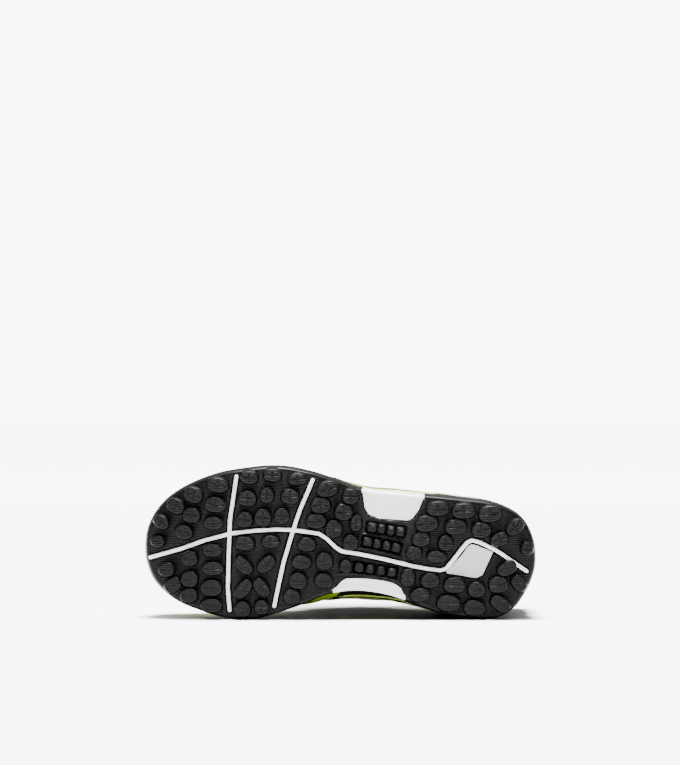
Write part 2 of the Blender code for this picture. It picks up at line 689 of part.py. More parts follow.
def lace_run(start, end, rise):
    """Flat band from one eyelet to another, bowed over the tongue."""
    rings = []
    for t in LACE_STEPS:
        middle = start.lerp(end, t) + Vector((0, 0, (1 - (2 * t - 1) ** 4) * rise))
        slope = (end - start) - Vector((0, 0, 8 * (2 * t - 1) ** 3 * rise))
        across = slope.cross(instep_normal(middle.x, middle.y)).normalized() * LACE_WIDTH / 2
        up = across.cross(slope).normalized() * LACE_THICK / 2
        rings.append([middle + across + up, middle - across + up, middle - across - up,
                      middle + across - up])
    return rings


def make_lace(parts, cutters):
    """Crossings of the lace as one solid, from the lowest eyelets to the top ones."""
    seats = {}
    for row, share in enumerate(EYELET_ROWS):
        for side in (OUTER, INNER):
            here, outward = upper_frame(share, side, eyelet_height(share, side))
            lift = LACE_CLEAR + LACE_THICK / 2 + LACE_SEAT * LACE_WIDTH
            seats[row, side] = here + outward * lift
    runs = [(seats[0, OUTER], seats[0, INNER])]
    for row in range(len(EYELET_ROWS) - 1):
        runs.append((seats[row, OUTER], seats[row + 1, INNER]))
        runs.append((seats[row, INNER], seats[row + 1, OUTER]))
    lace = None
    for start, end in runs:
        middle = start.lerp(end, 0.5)
        rise = crown(middle.x) + LACE_RISE + LACE_THICK / 2 - middle.z
        band = stacked("add_run", lace_run(start, end, rise), cutters, cap=face_cap)
        if lace is None:
            lace = band
            lace.name = "lace"
            cutters.objects.unlink(lace)
            parts.objects.link(lace)
        else:
            boolean(lace, band, "UNION", cutters)
    return lace


def give_material(thing):
    colour, roughness = COLOURS[thing.name]
    material = bpy.data.materials.new(thing.name)
    material.use_nodes = True
    shader = material.node_tree.nodes["Principled BSDF"]
    shader.inputs["Base Color"].default_value = (*colour, 1.0)
    shader.inputs["Roughness"].default_value = roughness
    shader.inputs["Metallic"].default_value = 0.0
    thing.data.materials.clear()
    thing.data.materials.append(material)


def solid_mesh(thing):
    depsgraph = bpy.context.evaluated_depsgraph_get()
    return thing.evaluated_get(depsgraph).to_mesh()


def balance_point(things):
    """Centre of mass of all the pieces, by tetrahedra to the origin."""
    total, moment = 0.0, Vector()
    for thing in things:
        mesh = solid_mesh(thing)
        mesh.calc_loop_triangles()
        for triangle in mesh.loop_triangles:
            a, b, c = (mesh.vertices[i].co for i in triangle.vertices)
            mass = a.dot(b.cross(c)) / 6 * DENSITY[thing.name]
            total += mass
            moment += mass * (a + b + c) / 4
    return moment / total


def resting_turn(things):
    """Turn that lays the shoe on the face of its hull below the balance point, inner side down."""
    laid = Matrix(((-1, 0, 0), (0, 0, 1), (0, 1, 0)))
    balance = laid @ balance_point(things)
    bm = bmesh.new()
    for thing in things:
        for vert in solid_mesh(thing).vertices:
            bm.verts.new(laid @ vert.co)
    hull = bmesh.ops.convex_hull(bm, input=bm.verts[:])
    faces = [item for item in hull["geom"] if isinstance(item, bmesh.types.BMFace)]
    best = None
    for face in faces:
        face.normal_update()
        if face.normal.z > -0.9:
            continue
        corners = [v.co for v in face.verts]
        drop = (corners[0] - balance).dot(face.normal)
        spot = balance + face.normal * drop
        turns = [(b - a).cross(spot - a).dot(face.normal)
                 for a, b in zip(corners, corners[1:] + corners[:1])]
        if min(turns) >= 0 and (best is None or drop < best[0]):
            best = (drop, face.normal.copy())
    level = best[1].rotation_difference(Vector((0, 0, -1))).to_matrix()
    bm.free()
    turned = level @ laid
    heading = turned @ Vector((1, 0, 0))
    spin = math.pi - math.atan2(heading.y, heading.x)
    return (Matrix.Rotation(spin, 3, "Z") @ turned).to_4x4()


def lay_down(things, parts):
    """Hang every piece on one empty that lays the shoe on the floor, centred on the origin."""
    turn = resting_turn(things)
    points = np.array([turn @ v.co for thing in things for v in solid_mesh(thing).vertices])
    low, high = points.min(axis=0), points.max(axis=0)
    middle = Vector(((low[0] + high[0]) / 2, (low[1] + high[1]) / 2, low[2]))
    rest = bpy.data.objects.new("lying", None)
    parts.objects.link(rest)
    rest.matrix_world = Matrix.Translation(-middle) @ turn
    for thing in things:
        thing.parent = rest


def main():
    for old in list(bpy.data.objects):
        bpy.data.objects.remove(old)
    parts = bpy.data.collections.new("turf_shoe")
    cutters = bpy.data.collections.new("cutters")
    for collection in (parts, cutters):
        bpy.context.scene.collection.children.link(collection)
    things = [make_outsole(parts, cutters), make_midsole(parts, cutters), make_insole(parts),
              make_upper(parts, cutters), make_tongue(parts), make_lace(parts, cutters)]
    for thing in things:
        give_material(thing)
        thing.data.shade_smooth()
        thing.data.set_sharp_from_angle(angle=SMOOTH_ANGLE)
    lay_down(things, parts)


main()
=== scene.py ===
import json
import math

import bmesh
import bpy
import numpy as np
from mathutils import Matrix, Vector


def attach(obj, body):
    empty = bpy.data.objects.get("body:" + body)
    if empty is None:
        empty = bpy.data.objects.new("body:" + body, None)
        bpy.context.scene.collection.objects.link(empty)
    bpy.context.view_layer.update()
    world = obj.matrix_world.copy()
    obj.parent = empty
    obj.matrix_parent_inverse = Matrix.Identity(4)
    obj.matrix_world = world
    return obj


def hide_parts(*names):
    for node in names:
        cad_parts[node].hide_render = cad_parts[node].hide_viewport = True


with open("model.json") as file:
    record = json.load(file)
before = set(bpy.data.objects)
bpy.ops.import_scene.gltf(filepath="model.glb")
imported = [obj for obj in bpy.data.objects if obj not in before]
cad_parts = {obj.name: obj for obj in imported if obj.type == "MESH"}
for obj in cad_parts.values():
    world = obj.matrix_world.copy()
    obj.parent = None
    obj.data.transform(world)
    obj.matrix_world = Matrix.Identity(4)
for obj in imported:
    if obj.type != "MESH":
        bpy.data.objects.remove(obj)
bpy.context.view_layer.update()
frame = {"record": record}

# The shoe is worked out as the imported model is: x forward from the back of the heel, y to the outer
# side of the foot, z up from the plane of the lug tips. It is then laid down on its inner side.
# Lengths are in metres. Shares along are of the sole's length, shares across of its half width.
shoe = {
    "length": 0.218, "ballWidth": 0.085, "heelWidth": 0.066, "heelHeight": 0.072,
    "instepHeight": 0.082, "throatWidth": 0.034, "throatArch": 11.0,
    "lugHeight": 0.0045, "base": 0.0024, "toeSpring": 0.011, "heelBevel": 0.0025, "archRise": 0.0025,
    "cupWall": 0.0026, "cupStep": 0.0008, "cupHeel": 0.0200, "cupBall": 0.0125, "edgeRound": 0.0020,
    "midHeel": 0.0130, "midBall": 0.0075, "gap": 0.0003,
    "outline": [
        (0.009, 0.182, 0.161), (0.037, 0.341, 0.345), (0.064, 0.406, 0.441), (0.119, 0.470, 0.505),
        (0.174, 0.488, 0.506), (0.257, 0.505, 0.458), (0.312, 0.511, 0.398), (0.367, 0.504, 0.332),
        (0.422, 0.480, 0.288), (0.477, 0.477, 0.272), (0.532, 0.496, 0.291), (0.587, 0.519, 0.345),
        (0.642, 0.541, 0.400), (0.697, 0.540, 0.445), (0.752, 0.519, 0.460), (0.807, 0.489, 0.445),
        (0.862, 0.438, 0.407), (0.917, 0.362, 0.351), (0.954, 0.284, 0.281), (0.982, 0.184, 0.191),
    ],
}


def ease(value, start, end):
    # Smooth step from 0 at start to 1 at end
    t = np.clip((np.asarray(value, float) - start) / (end - start), 0.0, 1.0)
    return t * t * (3 - 2 * t)


def unit(vectors):
    return vectors / np.maximum(np.linalg.norm(vectors, axis=-1, keepdims=True), 1e-12)


def runAlong(line):
    # Length from the start of a polyline to each of its points
    return np.concatenate([[0], np.cumsum(np.linalg.norm(np.diff(line, axis=0), axis=1))])


def readAlong(at, run, line):
    # Points of a polyline at the given lengths
    return np.stack([np.interp(at, run, values) for values in line.T], -1)


def readCurve(rows, column, share):
    # Cubic between the rows of a table, with the slopes of the rows beside each one
    at = np.array([row[0] for row in rows], float)
    value = np.array([row[column] for row in rows], float)
    share = np.clip(np.asarray(share, float), at[0], at[-1])
    i = np.clip(np.searchsorted(at, share, side="right") - 1, 0, len(at) - 2)
    step = at[i + 1] - at[i]
    slope = np.gradient(value, at)
    t = (share - at[i]) / step
    return ((2 * t**3 - 3 * t**2 + 1) * value[i] + (t**3 - 2 * t**2 + t) * step * slope[i]
            + (3 * t**2 - 2 * t**3) * value[i + 1] + (t**3 - t**2) * step * slope[i + 1])


def halfWidth(share, side):
    # Table value times the root of share times (1 - share), so that both ends are round
    share = np.clip(share, 0.0, 1.0)
    full = [(s, o / math.sqrt(s * (1 - s)), i / math.sqrt(s * (1 - s))) for s, o, i in shoe["outline"]]
    width = shoe["heelWidth"] + (shoe["ballWidth"] - shoe["heelWidth"]) * ease(share, 0.30, 0.60)
    table = np.where(np.asarray(side) > 0, readCurve(full, 1, share), readCurve(full, 2, share))
    return width * table * np.sqrt(share * (1 - share))


def soleEdge(share, side, inset):
    # The outline in plan, moved inwards square to itself; both ends lie on the middle line
    share, side = np.broadcast_arrays(np.asarray(share, float), np.asarray(side, float))
    length = shoe["length"]
    step = np.clip(np.minimum(share, 1 - share) / 2, 1e-6, 0.004)
    ahead = np.stack([(share + step) * length, side * halfWidth(share + step, side)], -1)
    behind = np.stack([(share - step) * length, side * halfWidth(share - step, side)], -1)
    along = unit(ahead - behind)
    outward = np.stack([-along[..., 1], along[..., 0]], -1) * side[..., None]
    outward = np.where((share <= 0)[..., None], [-1.0, 0.0], outward)
    outward = np.where((share >= 1)[..., None], [1.0, 0.0], outward)
    line = np.stack([share * length, side * halfWidth(share, side)], -1)
    return line - np.asarray(inset, float)[..., None] * outward, outward


def plan(along, across):
    # Point in plan from percent along and percent across
    along, across = np.broadcast_arrays(np.asarray(along, float), np.asarray(across, float))
    half = halfWidth(along / 100, np.where(across >= 0, 1, -1))
    return np.stack([along / 100 * shoe["length"], across / 100 * half], -1)


def underside(x):
    # Height of the rubber between the lugs: squared rise at toe and heel, squared sine at the arch
    share = np.asarray(x, float) / shoe["length"]
    toe = shoe["toeSpring"] * np.maximum(0.0, (share - 0.74) / 0.26) ** 2
    heel = shoe["heelBevel"] * np.maximum(0.0, (0.09 - share) / 0.09) ** 2
    inArch = (share > 0.30) & (share < 0.60)
    arch = np.where(inArch, shoe["archRise"] * np.sin(math.pi * (share - 0.30) / 0.30) ** 2, 0.0)
    return shoe["lugHeight"] + toe + heel + arch


def onSole(flat, lift=0.0):
    # Points in plan set on the underside, or a lift above it
    return np.concatenate([flat, (underside(flat[..., 0]) + lift)[..., None]], -1)


def cupTop(x):
    fall = ease(np.asarray(x) / shoe["length"], 0.18, 0.62)
    return underside(x) + shoe["cupHeel"] + (shoe["cupBall"] - shoe["cupHeel"]) * fall


def midsoleTop(x):
    fall = ease(np.asarray(x) / shoe["length"], 0.18, 0.62)
    return underside(x) + shoe["midHeel"] + (shoe["midBall"] - shoe["midHeel"]) * fall


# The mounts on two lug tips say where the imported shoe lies
mounts = {mount["name"]: mount for mount in frame["record"]["mounts"]}
heelSpot = np.array(mounts["heel_tread"]["pos_m"])
ballSpot = np.array(mounts["forefoot_tread"]["pos_m"])
heelPlan, ballPlan = np.append(plan(20.8, 52), 0.0), np.append(plan(69.2, 66), 0.0)


def axesFrom(forward, up):
    # Three square axes from a forward direction and an up direction
    up = unit(up)
    forward = unit(forward - up * forward.dot(up))
    return np.stack([forward, np.cross(up, forward), up], 1)


upWorld = -np.array(mounts["heel_tread"]["axis"])
layTurn = axesFrom(ballSpot - heelSpot, upWorld) @ axesFrom(ballPlan - heelPlan, np.array([0, 0, 1.0])).T
layShift = (heelSpot + ballSpot) / 2 - layTurn @ (heelPlan + ballPlan) / 2


def toWorld(points):
    return np.asarray(points, float).reshape(-1, 3) @ layTurn.T + layShift


def gridFaces(rows, columns, wrap=False, first=0):
    # Quads of a grid of rows by columns; wrap joins the last column to the first
    i, j = np.meshgrid(np.arange(rows - 1), np.arange(columns if wrap else columns - 1), indexing="ij")
    k = (j + 1) % columns
    quads = np.stack([i * columns + j, i * columns + k, (i + 1) * columns + k, (i + 1) * columns + j], -1)
    return quads.reshape(-1, 4) + first


def addPiece(name, points, faces, material, attributes=None, outward=True, modifiers=()):
    # Mesh from whole arrays in the shoe's frame, laid down, with doubles merged, riding on the one body
    mesh = bpy.data.meshes.new(name)
    mesh.from_pydata(toWorld(points).tolist(), [], [list(face) for face in faces])
    for key, values in (attributes or {}).items():
        mesh.attributes.new(key, "FLOAT", "POINT").data.foreach_set("value", np.ravel(values))
    bm = bmesh.new()
    bm.from_mesh(mesh)
    bmesh.ops.remove_doubles(bm, verts=bm.verts[:], dist=2e-6)
    loose = [vert for vert in bm.verts if not vert.link_faces]
    bmesh.ops.delete(bm, geom=loose, context="VERTS")
    if outward:
        bmesh.ops.recalc_face_normals(bm, faces=bm.faces[:])
    bm.to_mesh(mesh)
    bm.free()
    mesh.shade_smooth()
    mesh.materials.append(material)
    piece = bpy.data.objects.new(name, mesh)
    bpy.context.scene.collection.objects.link(piece)
    for kind, fields in modifiers:
        modifier = piece.modifiers.new(kind.lower(), kind)
        for key, value in fields.items():
            setattr(modifier, key, value)
    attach(piece, "root")
    return piece


def toLinear(hexColour):
    # sRGB hex to the linear colour that sockets take
    parts = [int(hexColour[i:i + 2], 16) / 255 for i in (1, 3, 5)]
    return [c / 12.92 if c <= 0.04045 else ((c + 0.055) / 1.055) ** 2.4 for c in parts] + [1.0]


def addNode(tree, kind, fields=None, values=None, links=None):
    # One shader node with its fields, its sockets' values and what is linked into them
    node = tree.nodes.new("ShaderNode" + kind)
    for key, value in (fields or {}).items():
        setattr(node, key, value)
    for key, value in (values or {}).items():
        node.inputs[key].default_value = value
    for key, source in (links or {}).items():
        tree.links.new(source, node.inputs[key])
    return node


def newMaterial(name, colour, roughness, **sockets):
    material = bpy.data.materials.new(name)
    material.use_nodes = True
    material.diffuse_color = toLinear(colour)
    shader = material.node_tree.nodes["Principled BSDF"]
    shader.inputs["Base Color"].default_value = toLinear(colour)
    shader.inputs["Roughness"].default_value = roughness
    for key, value in sockets.items():
        shader.inputs[key].default_value = value
    return material, material.node_tree, shader


def perMetre(sizeMm):
    # Noise and voronoi scale for a grain of that size
    return 1000 / sizeMm


def bandScale(pitchMm):
    # A wave texture has a period of 2 pi / 20 over its scale
    return math.pi / 10 / (pitchMm / 1000)


print("frame loaded")

# materials

# Vulcanised rubber, compression moulded: nearly black, half dull, with fine lines from the mould
rubberLook = {"colour": "#040404", "dust": "#080808", "roughness": 0.36, "lineMm": 1.0, "grainMm": 0.35}
rubber, tree, shader = newMaterial("vulcanisedRubber", rubberLook["colour"], rubberLook["roughness"],
                                   **{"Specular IOR Level": 0.08})
place = addNode(tree, "TexCoord")
lines = addNode(tree, "TexWave", {"wave_type": "BANDS", "bands_direction": "Z"},
                {"Scale": bandScale(rubberLook["lineMm"]), "Distortion": 1.6, "Detail": 2.0,
                 "Detail Scale": 0.12}, {"Vector": place.outputs["Object"]})
grain = addNode(tree, "TexNoise", None,
                {"Scale": perMetre(rubberLook["grainMm"]), "Detail": 3.0},
                {"Vector": place.outputs["Object"]})
patches = addNode(tree, "TexNoise", None, {"Scale": perMetre(9), "Detail": 4.0},
                  {"Vector": place.outputs["Object"]})
tint = addNode(tree, "Mix", {"data_type": "RGBA"},
               {"A": toLinear(rubberLook["colour"]), "B": toLinear(rubberLook["dust"])},
               {"Factor": patches.outputs["Fac"]})
tree.links.new(tint.outputs["Result"], shader.inputs["Base Color"])
gloss = addNode(tree, "MapRange", None, {"From Min": 0.3, "From Max": 0.7, "To Min": 0.30,
                "To Max": 0.42}, {"Value": patches.outputs["Fac"]})
tree.links.new(gloss.outputs["Result"], shader.inputs["Roughness"])
onTread = addNode(tree, "Attribute", {"attribute_name": "treadFace"})
lineBump = addNode(tree, "Bump", None, {"Distance": 0.00018},
                   {"Height": lines.outputs["Fac"], "Strength": onTread.outputs["Fac"]})
grainBump = addNode(tree, "Bump", None, {"Strength": 0.5, "Distance": 0.00004},
                    {"Height": grain.outputs["Fac"], "Normal": lineBump.outputs["Normal"]})
tree.links.new(grainBump.outputs["Normal"], shader.inputs["Normal"])


def mouldedPlastic(name, colour, roughness):
    # Thermoplastic rubber or foam, moulded: even colour, satin skin, a very fine orange peel
    material, tree, shader = newMaterial(name, colour, roughness)
    place = addNode(tree, "TexCoord")
    peel = addNode(tree, "TexNoise", None, {"Scale": perMetre(0.6), "Detail": 3.0},
                   {"Vector": place.outputs["Object"]})
    cloud = addNode(tree, "TexNoise", None, {"Scale": perMetre(14), "Detail": 3.0},
                    {"Vector": place.outputs["Object"]})
    shade = addNode(tree, "Mix", {"data_type": "RGBA"},
                    {"A": toLinear(colour), "B": [c * 0.93 for c in toLinear(colour)[:3]] + [1.0]},
                    {"Factor": cloud.outputs["Fac"]})
    tree.links.new(shade.outputs["Result"], shader.inputs["Base Color"])
    bump = addNode(tree, "Bump", None, {"Strength": 0.6, "Distance": 0.00002},
                   {"Height": peel.outputs["Fac"]})
    tree.links.new(bump.outputs["Normal"], shader.inputs["Normal"])
    return material


ribPlastic = mouldedPlastic("mouldedWhiteRubber", "#cfcfcd", 0.42)
badgePlastic = mouldedPlastic("mouldedPaleGreyRubber", "#a3a4a6", 0.38)
foam = mouldedPlastic("mouldedWhiteFoam", "#e6e6e4", 0.65)

# Coated synthetic leather, embossed: satin coat over a fine pebble grain. The distances that the upper
# carries as attributes draw its panels, black behind and yellow-green in front, and its printed lines.
skinLook = {"front": "#647c00", "rear": "#09090a", "lineFront": "#b7c84a", "lineRear": "#a8ab90",
            "lining": "#0b0b0c", "roughness": 0.44, "grainMm": 0.9,
            "lines": [(0.0108, 0.0013), (0.0146, 0.0006)]}
skin, tree, shader = newMaterial("coatedSyntheticLeather", skinLook["front"], skinLook["roughness"],
                                 **{"Specular IOR Level": 0.12})
place = addNode(tree, "TexCoord")


def maskFrom(tree, key, soft=0.00012):
    # 1 where the signed distance is above zero, with a soft edge of that width
    reader = addNode(tree, "Attribute", {"attribute_name": key})
    return addNode(tree, "MapRange", {"interpolation_type": "SMOOTHSTEP"},
                   {"From Min": -soft, "From Max": soft}, {"Value": reader.outputs["Fac"]})


rearMask = maskFrom(tree, "quarterPanel")
# Printed lines: bands at set distances above the cup, tapering off where their reach falls to nothing
above = addNode(tree, "Attribute", {"attribute_name": "aboveCup"})
reach = addNode(tree, "Attribute", {"attribute_name": "lineReach"})
lineMask = addNode(tree, "Math", {"operation": "MAXIMUM"}, {0: 0.0, 1: 0.0})
for at, half in skinLook["lines"]:
    apart = addNode(tree, "Math", {"operation": "SUBTRACT"}, {1: at}, {0: above.outputs["Fac"]})
    apart = addNode(tree, "Math", {"operation": "ABSOLUTE"}, None, {0: apart.outputs["Value"]})
    wide = addNode(tree, "Math", {"operation": "MULTIPLY"}, {1: half}, {0: reach.outputs["Fac"]})
    inside = addNode(tree, "Math", {"operation": "SUBTRACT"}, None,
                     {0: wide.outputs["Value"], 1: apart.outputs["Value"]})
    band = addNode(tree, "MapRange", {"interpolation_type": "SMOOTHSTEP"},
                   {"From Min": 0.0, "From Max": 0.0002}, {"Value": inside.outputs["Value"]})
    lineMask = addNode(tree, "Math", {"operation": "MAXIMUM"}, None,
                       {0: lineMask.outputs["Value"], 1: band.outputs["Result"]})
liningMask = maskFrom(tree, "lining")
fade = addNode(tree, "Attribute", {"attribute_name": "rearFade"})
lineTint = addNode(tree, "Mix", {"data_type": "RGBA"},
                   {"A": toLinear(skinLook["lineFront"]), "B": toLinear(skinLook["lineRear"])},
                   {"Factor": fade.outputs["Fac"]})
panels = addNode(tree, "Mix", {"data_type": "RGBA"},
                 {"A": toLinear(skinLook["front"]), "B": toLinear(skinLook["rear"])},
                 {"Factor": rearMask.outputs["Result"]})
printed = addNode(tree, "Mix", {"data_type": "RGBA"}, None,
                  {"Factor": lineMask.outputs["Value"], "A": panels.outputs["Result"],
                   "B": lineTint.outputs["Result"]})
lined = addNode(tree, "Mix", {"data_type": "RGBA"}, {"B": toLinear(skinLook["lining"])},
                {"Factor": liningMask.outputs["Result"], "A": printed.outputs["Result"]})
tree.links.new(lined.outputs["Result"], shader.inputs["Base Color"])
pebble = addNode(tree, "TexVoronoi", {"feature": "SMOOTH_F1"},
                 {"Scale": perMetre(skinLook["grainMm"]), "Smoothness": 0.6},
                 {"Vector": place.outputs["Object"]})
pebbleBump = addNode(tree, "Bump", None, {"Strength": 0.7, "Distance": 0.00007},
                     {"Height": pebble.outputs["Distance"]})
tree.links.new(pebbleBump.outputs["Normal"], shader.inputs["Normal"])
skinGloss = addNode(tree, "MapRange", None, {"To Min": skinLook["roughness"], "To Max": 0.85},
                    {"Value": liningMask.outputs["Result"]})
tree.links.new(skinGloss.outputs["Result"], shader.inputs["Roughness"])


def wovenCloth(name, colour, threadMm, roughness=0.85):
    # Knitted, woven or twisted synthetic yarn: two crossed sets of threads, each a row of small ridges
    material, tree, shader = newMaterial(name, colour, roughness,
                                         **{"Specular IOR Level": 0.1, "Sheen Weight": 0.01})
    place = addNode(tree, "TexCoord")
    turned = addNode(tree, "Mapping", None, {"Rotation": (0.0, 0.0, math.radians(45))},
                     {"Vector": place.outputs["Object"]})
    warp = addNode(tree, "TexWave", {"bands_direction": "X"},
                   {"Scale": bandScale(threadMm)}, {"Vector": turned.outputs["Vector"]})
    weft = addNode(tree, "TexWave", {"bands_direction": "Z"},
                   {"Scale": bandScale(threadMm)}, {"Vector": turned.outputs["Vector"]})
    cross = addNode(tree, "Math", {"operation": "MULTIPLY"}, None,
                    {0: warp.outputs["Fac"], 1: weft.outputs["Fac"]})
    # Painted shade: the colour darkens to 0.55 of itself where the weave's height is low, in the hollows
    # between the threads
    shade = addNode(tree, "Mix", {"data_type": "RGBA"},
                    {"A": [c * 0.55 for c in toLinear(colour)[:3]] + [1.0], "B": toLinear(colour)},
                    {"Factor": cross.outputs["Value"]})
    tree.links.new(shade.outputs["Result"], shader.inputs["Base Color"])
    bump = addNode(tree, "Bump", None, {"Strength": 0.8, "Distance": 0.00012},
                   {"Height": cross.outputs["Value"]})
    tree.links.new(bump.outputs["Normal"], shader.inputs["Normal"])
    return material


meshCloth = wovenCloth("spacerMeshPolyester", "#131315", 1.1)
knitCloth = wovenCloth("brushedKnitPolyester", "#101012", 0.8)
laceCloth = wovenCloth("wovenPolyesterLace", "#161618", 0.9)
threadBlack = wovenCloth("bondedNylonThread", "#1c1c1e", 0.3, 0.6)

# Matt white paper. Behind the shoe it is lit from below as on a light table, so it fades into the room,
# and under the shoe's own footprint it is shaded olive, as deep as the photograph's contact shadow.
paper, tree, shader = newMaterial("seamlessPaper", "#fbfbfc", 0.6,
                                  **{"Emission Color": (0.985, 0.985, 1.0, 1.0), "Specular IOR Level": 0.12})
place = addNode(tree, "TexCoord")
split = addNode(tree, "SeparateXYZ", None, None, {"Vector": place.outputs["Object"]})
glow = addNode(tree, "MapRange", {"interpolation_type": "SMOOTHSTEP"},
               {"From Min": 0.25, "From Max": 2.20, "To Max": 7.2}, {"Value": split.outputs["Y"]})
tree.links.new(glow.outputs["Result"], shader.inputs["Emission Strength"])
shadeLook = {"colour": "#2c2c1c", "front": (-0.0468, -0.0405), "back": (0.018, 0.085), "middle": 0.026,
             "ends": (0.030, 0.098)}
shifted = addNode(tree, "Math", {"operation": "SUBTRACT"}, {1: shadeLook["middle"]},
                  {0: split.outputs["X"]})
sideways = addNode(tree, "Math", {"operation": "ABSOLUTE"}, None, {0: shifted.outputs["Value"]})
shaded = addNode(tree, "Math", {"operation": "MULTIPLY"}, {0: 1.0, 1: 1.0})
for (start, end), low, source in ((shadeLook["front"], 0.0, split.outputs["Y"]),
                                  (shadeLook["back"], 1.0, split.outputs["Y"]),
                                  (shadeLook["ends"], 1.0, sideways.outputs["Value"])):
    fall = addNode(tree, "MapRange", {"interpolation_type": "SMOOTHSTEP"},
                   {"From Min": start, "From Max": end, "To Min": low, "To Max": 1.0 - low},
                   {"Value": source})
    shaded = addNode(tree, "Math", {"operation": "MULTIPLY"}, None,
                     {0: shaded.outputs["Value"], 1: fall.outputs["Result"]})
contact = addNode(tree, "Mix", {"data_type": "RGBA"},
                  {"A": toLinear("#fbfbfc"), "B": toLinear(shadeLook["colour"])},
                  {"Factor": shaded.outputs["Value"]})
tree.links.new(contact.outputs["Result"], shader.inputs["Base Color"])

print("materials made")

# black rubber cup: tread face, side wall and floor as one closed shell

ribs = {
    "width": 0.0022, "proud": 0.0008, "soft": 0.00055, "root": 0.0012, "groove": 0.0006,
    "grooveDepth": 0.0011, "bendMm": 2.6,
    "long": [(98.6, -50), (90.4, -4), (84.6, 10), (78.2, 19), (72.0, 23), (66.3, 25), (62.2, 25.5),
             (55.6, 24), (53.7, 19), (51.3, 8), (49.6, 2), (45.4, -1), (38.5, -12), (31.2, -22),
             (27.1, -24), (24.3, -24), (22.8, -20), (17.7, 27), (16.5, 31), (14.4, 28), (9.9, 15),
             (2.3, -34)],
    "ball": [(77.2, 92), (78.4, 35), (78.3, -27), (78.2, -59), (77.5, -88)],
    "waist": [(57.7, 91), (60.6, 52), (62.2, 25), (64.3, -20), (65.4, -59), (66.2, -87)],
}
plates = {
    "sink": 0.0004, "thick": 0.0012, "edgeBevel": 0.0003, "gap": 0.000315,
    "outer": [(45.4, 130), (45.1, 100), (44.3, 72), (43.2, 62), (40.3, 57), (33.4, 56), (31.8, 61),
              (30.3, 75), (28.9, 100), (27.6, 130)],
    "inner": [(56.0, -135), (52.0, -99), (49.3, -72), (48.0, -66), (45.5, -66), (38.6, -67),
              (35.8, -69), (34.0, -76), (32.6, -98), (31.4, -135)],
    "heel": [(22.9, -29), (22.7, -20), (17.7, 27), (16.5, 31), (14.4, 28), (10.6, 17), (13.3, -28),
             (15.0, -34)],
}
blocks = {
    "height": 0.0030, "breadth": 0.0042, "squareness": 9.0, "root": 0.0018,
    "pocketDepth": 0.0012, "pocketWidth": 0.0066,
    "rows": [((42.1, 42), (34.9, 38)), ((43.1, 19), (35.8, 12)), ((45.0, -37), (36.6, -42))],
    "sides": [0.0047, 0.0038, 0.0038, 0.0043],
    "ridges": [[(45.2, 29), (41.5, 31), (37.5, 28), (34.0, 21)],
               [(46.3, 8), (42.5, 8), (38.0, 2), (34.5, -5)],
               [(50.4, -52), (46.6, -55), (40.5, -55), (36.0, -58), (33.3, -66)]],
    "ridgeHeight": 0.0007, "ridgeHalf": 0.00055,
}


def smoothRoute(rows, bendMm, stepMm=0.25):
    # Straight runs between the table's points, sampled evenly, their bends rounded by a raised-cosine mean
    corners = plan(*np.array(rows, float).T)
    run = runAlong(corners)
    route = readAlong(np.linspace(0, run[-1], int(run[-1] / (stepMm / 1000)) + 1), run, corners)
    window = np.hanning(int(bendMm / stepMm) | 1)
    half = len(window) // 2
    before = 2 * route[0] - route[half:0:-1]
    after = 2 * route[-1] - route[-2:-half - 2:-1]
    padded = np.concatenate([before, route, after])
    return np.stack([np.convolve(padded[:, k], window / window.sum(), "valid") for k in (0, 1)], -1)


def awayFrom(points, route):
    # Distance from each point to a polyline, in plan or in space
    nearest = np.full(points.shape[:-1], np.inf)
    for start, end in zip(route[:-1], route[1:]):
        run = end - start
        t = np.clip(((points - start) @ run) / max(run @ run, 1e-12), 0, 1)
        nearest = np.minimum(nearest, np.linalg.norm(points - start - t[..., None] * run, axis=-1))
    return nearest


def insideBy(points, polygon):
    # Signed distance to a closed outline, positive inside, by counting the edges a ray crosses
    crossed = np.zeros(points.shape[:-1], bool)
    for start, end in zip(polygon, np.roll(polygon, -1, axis=0)):
        spans = (start[1] > points[..., 1]) != (end[1] > points[..., 1])
        rise = end[1] - start[1] if abs(end[1] - start[1]) > 1e-12 else 1e-12
        meets = start[0] + (points[..., 1] - start[1]) / rise * (end[0] - start[0])
        crossed ^= spans & (points[..., 0] < meets)
    away = awayFrom(points, np.concatenate([polygon, polygon[:1]]))
    return np.where(crossed, away, -away)


routes = {key: smoothRoute(ribs[key], ribs["bendMm"]) for key in ("long", "ball", "waist")}
windows = {key: plan(*np.array(plates[key], float).T) for key in ("outer", "inner", "heel")}
blockPlaces = []
for first, final in blocks["rows"]:
    start, end = plan(*first), plan(*final)
    for k, side in enumerate(blocks["sides"]):
        blockPlaces.append((start + (end - start) * k / 3, end - start, side))


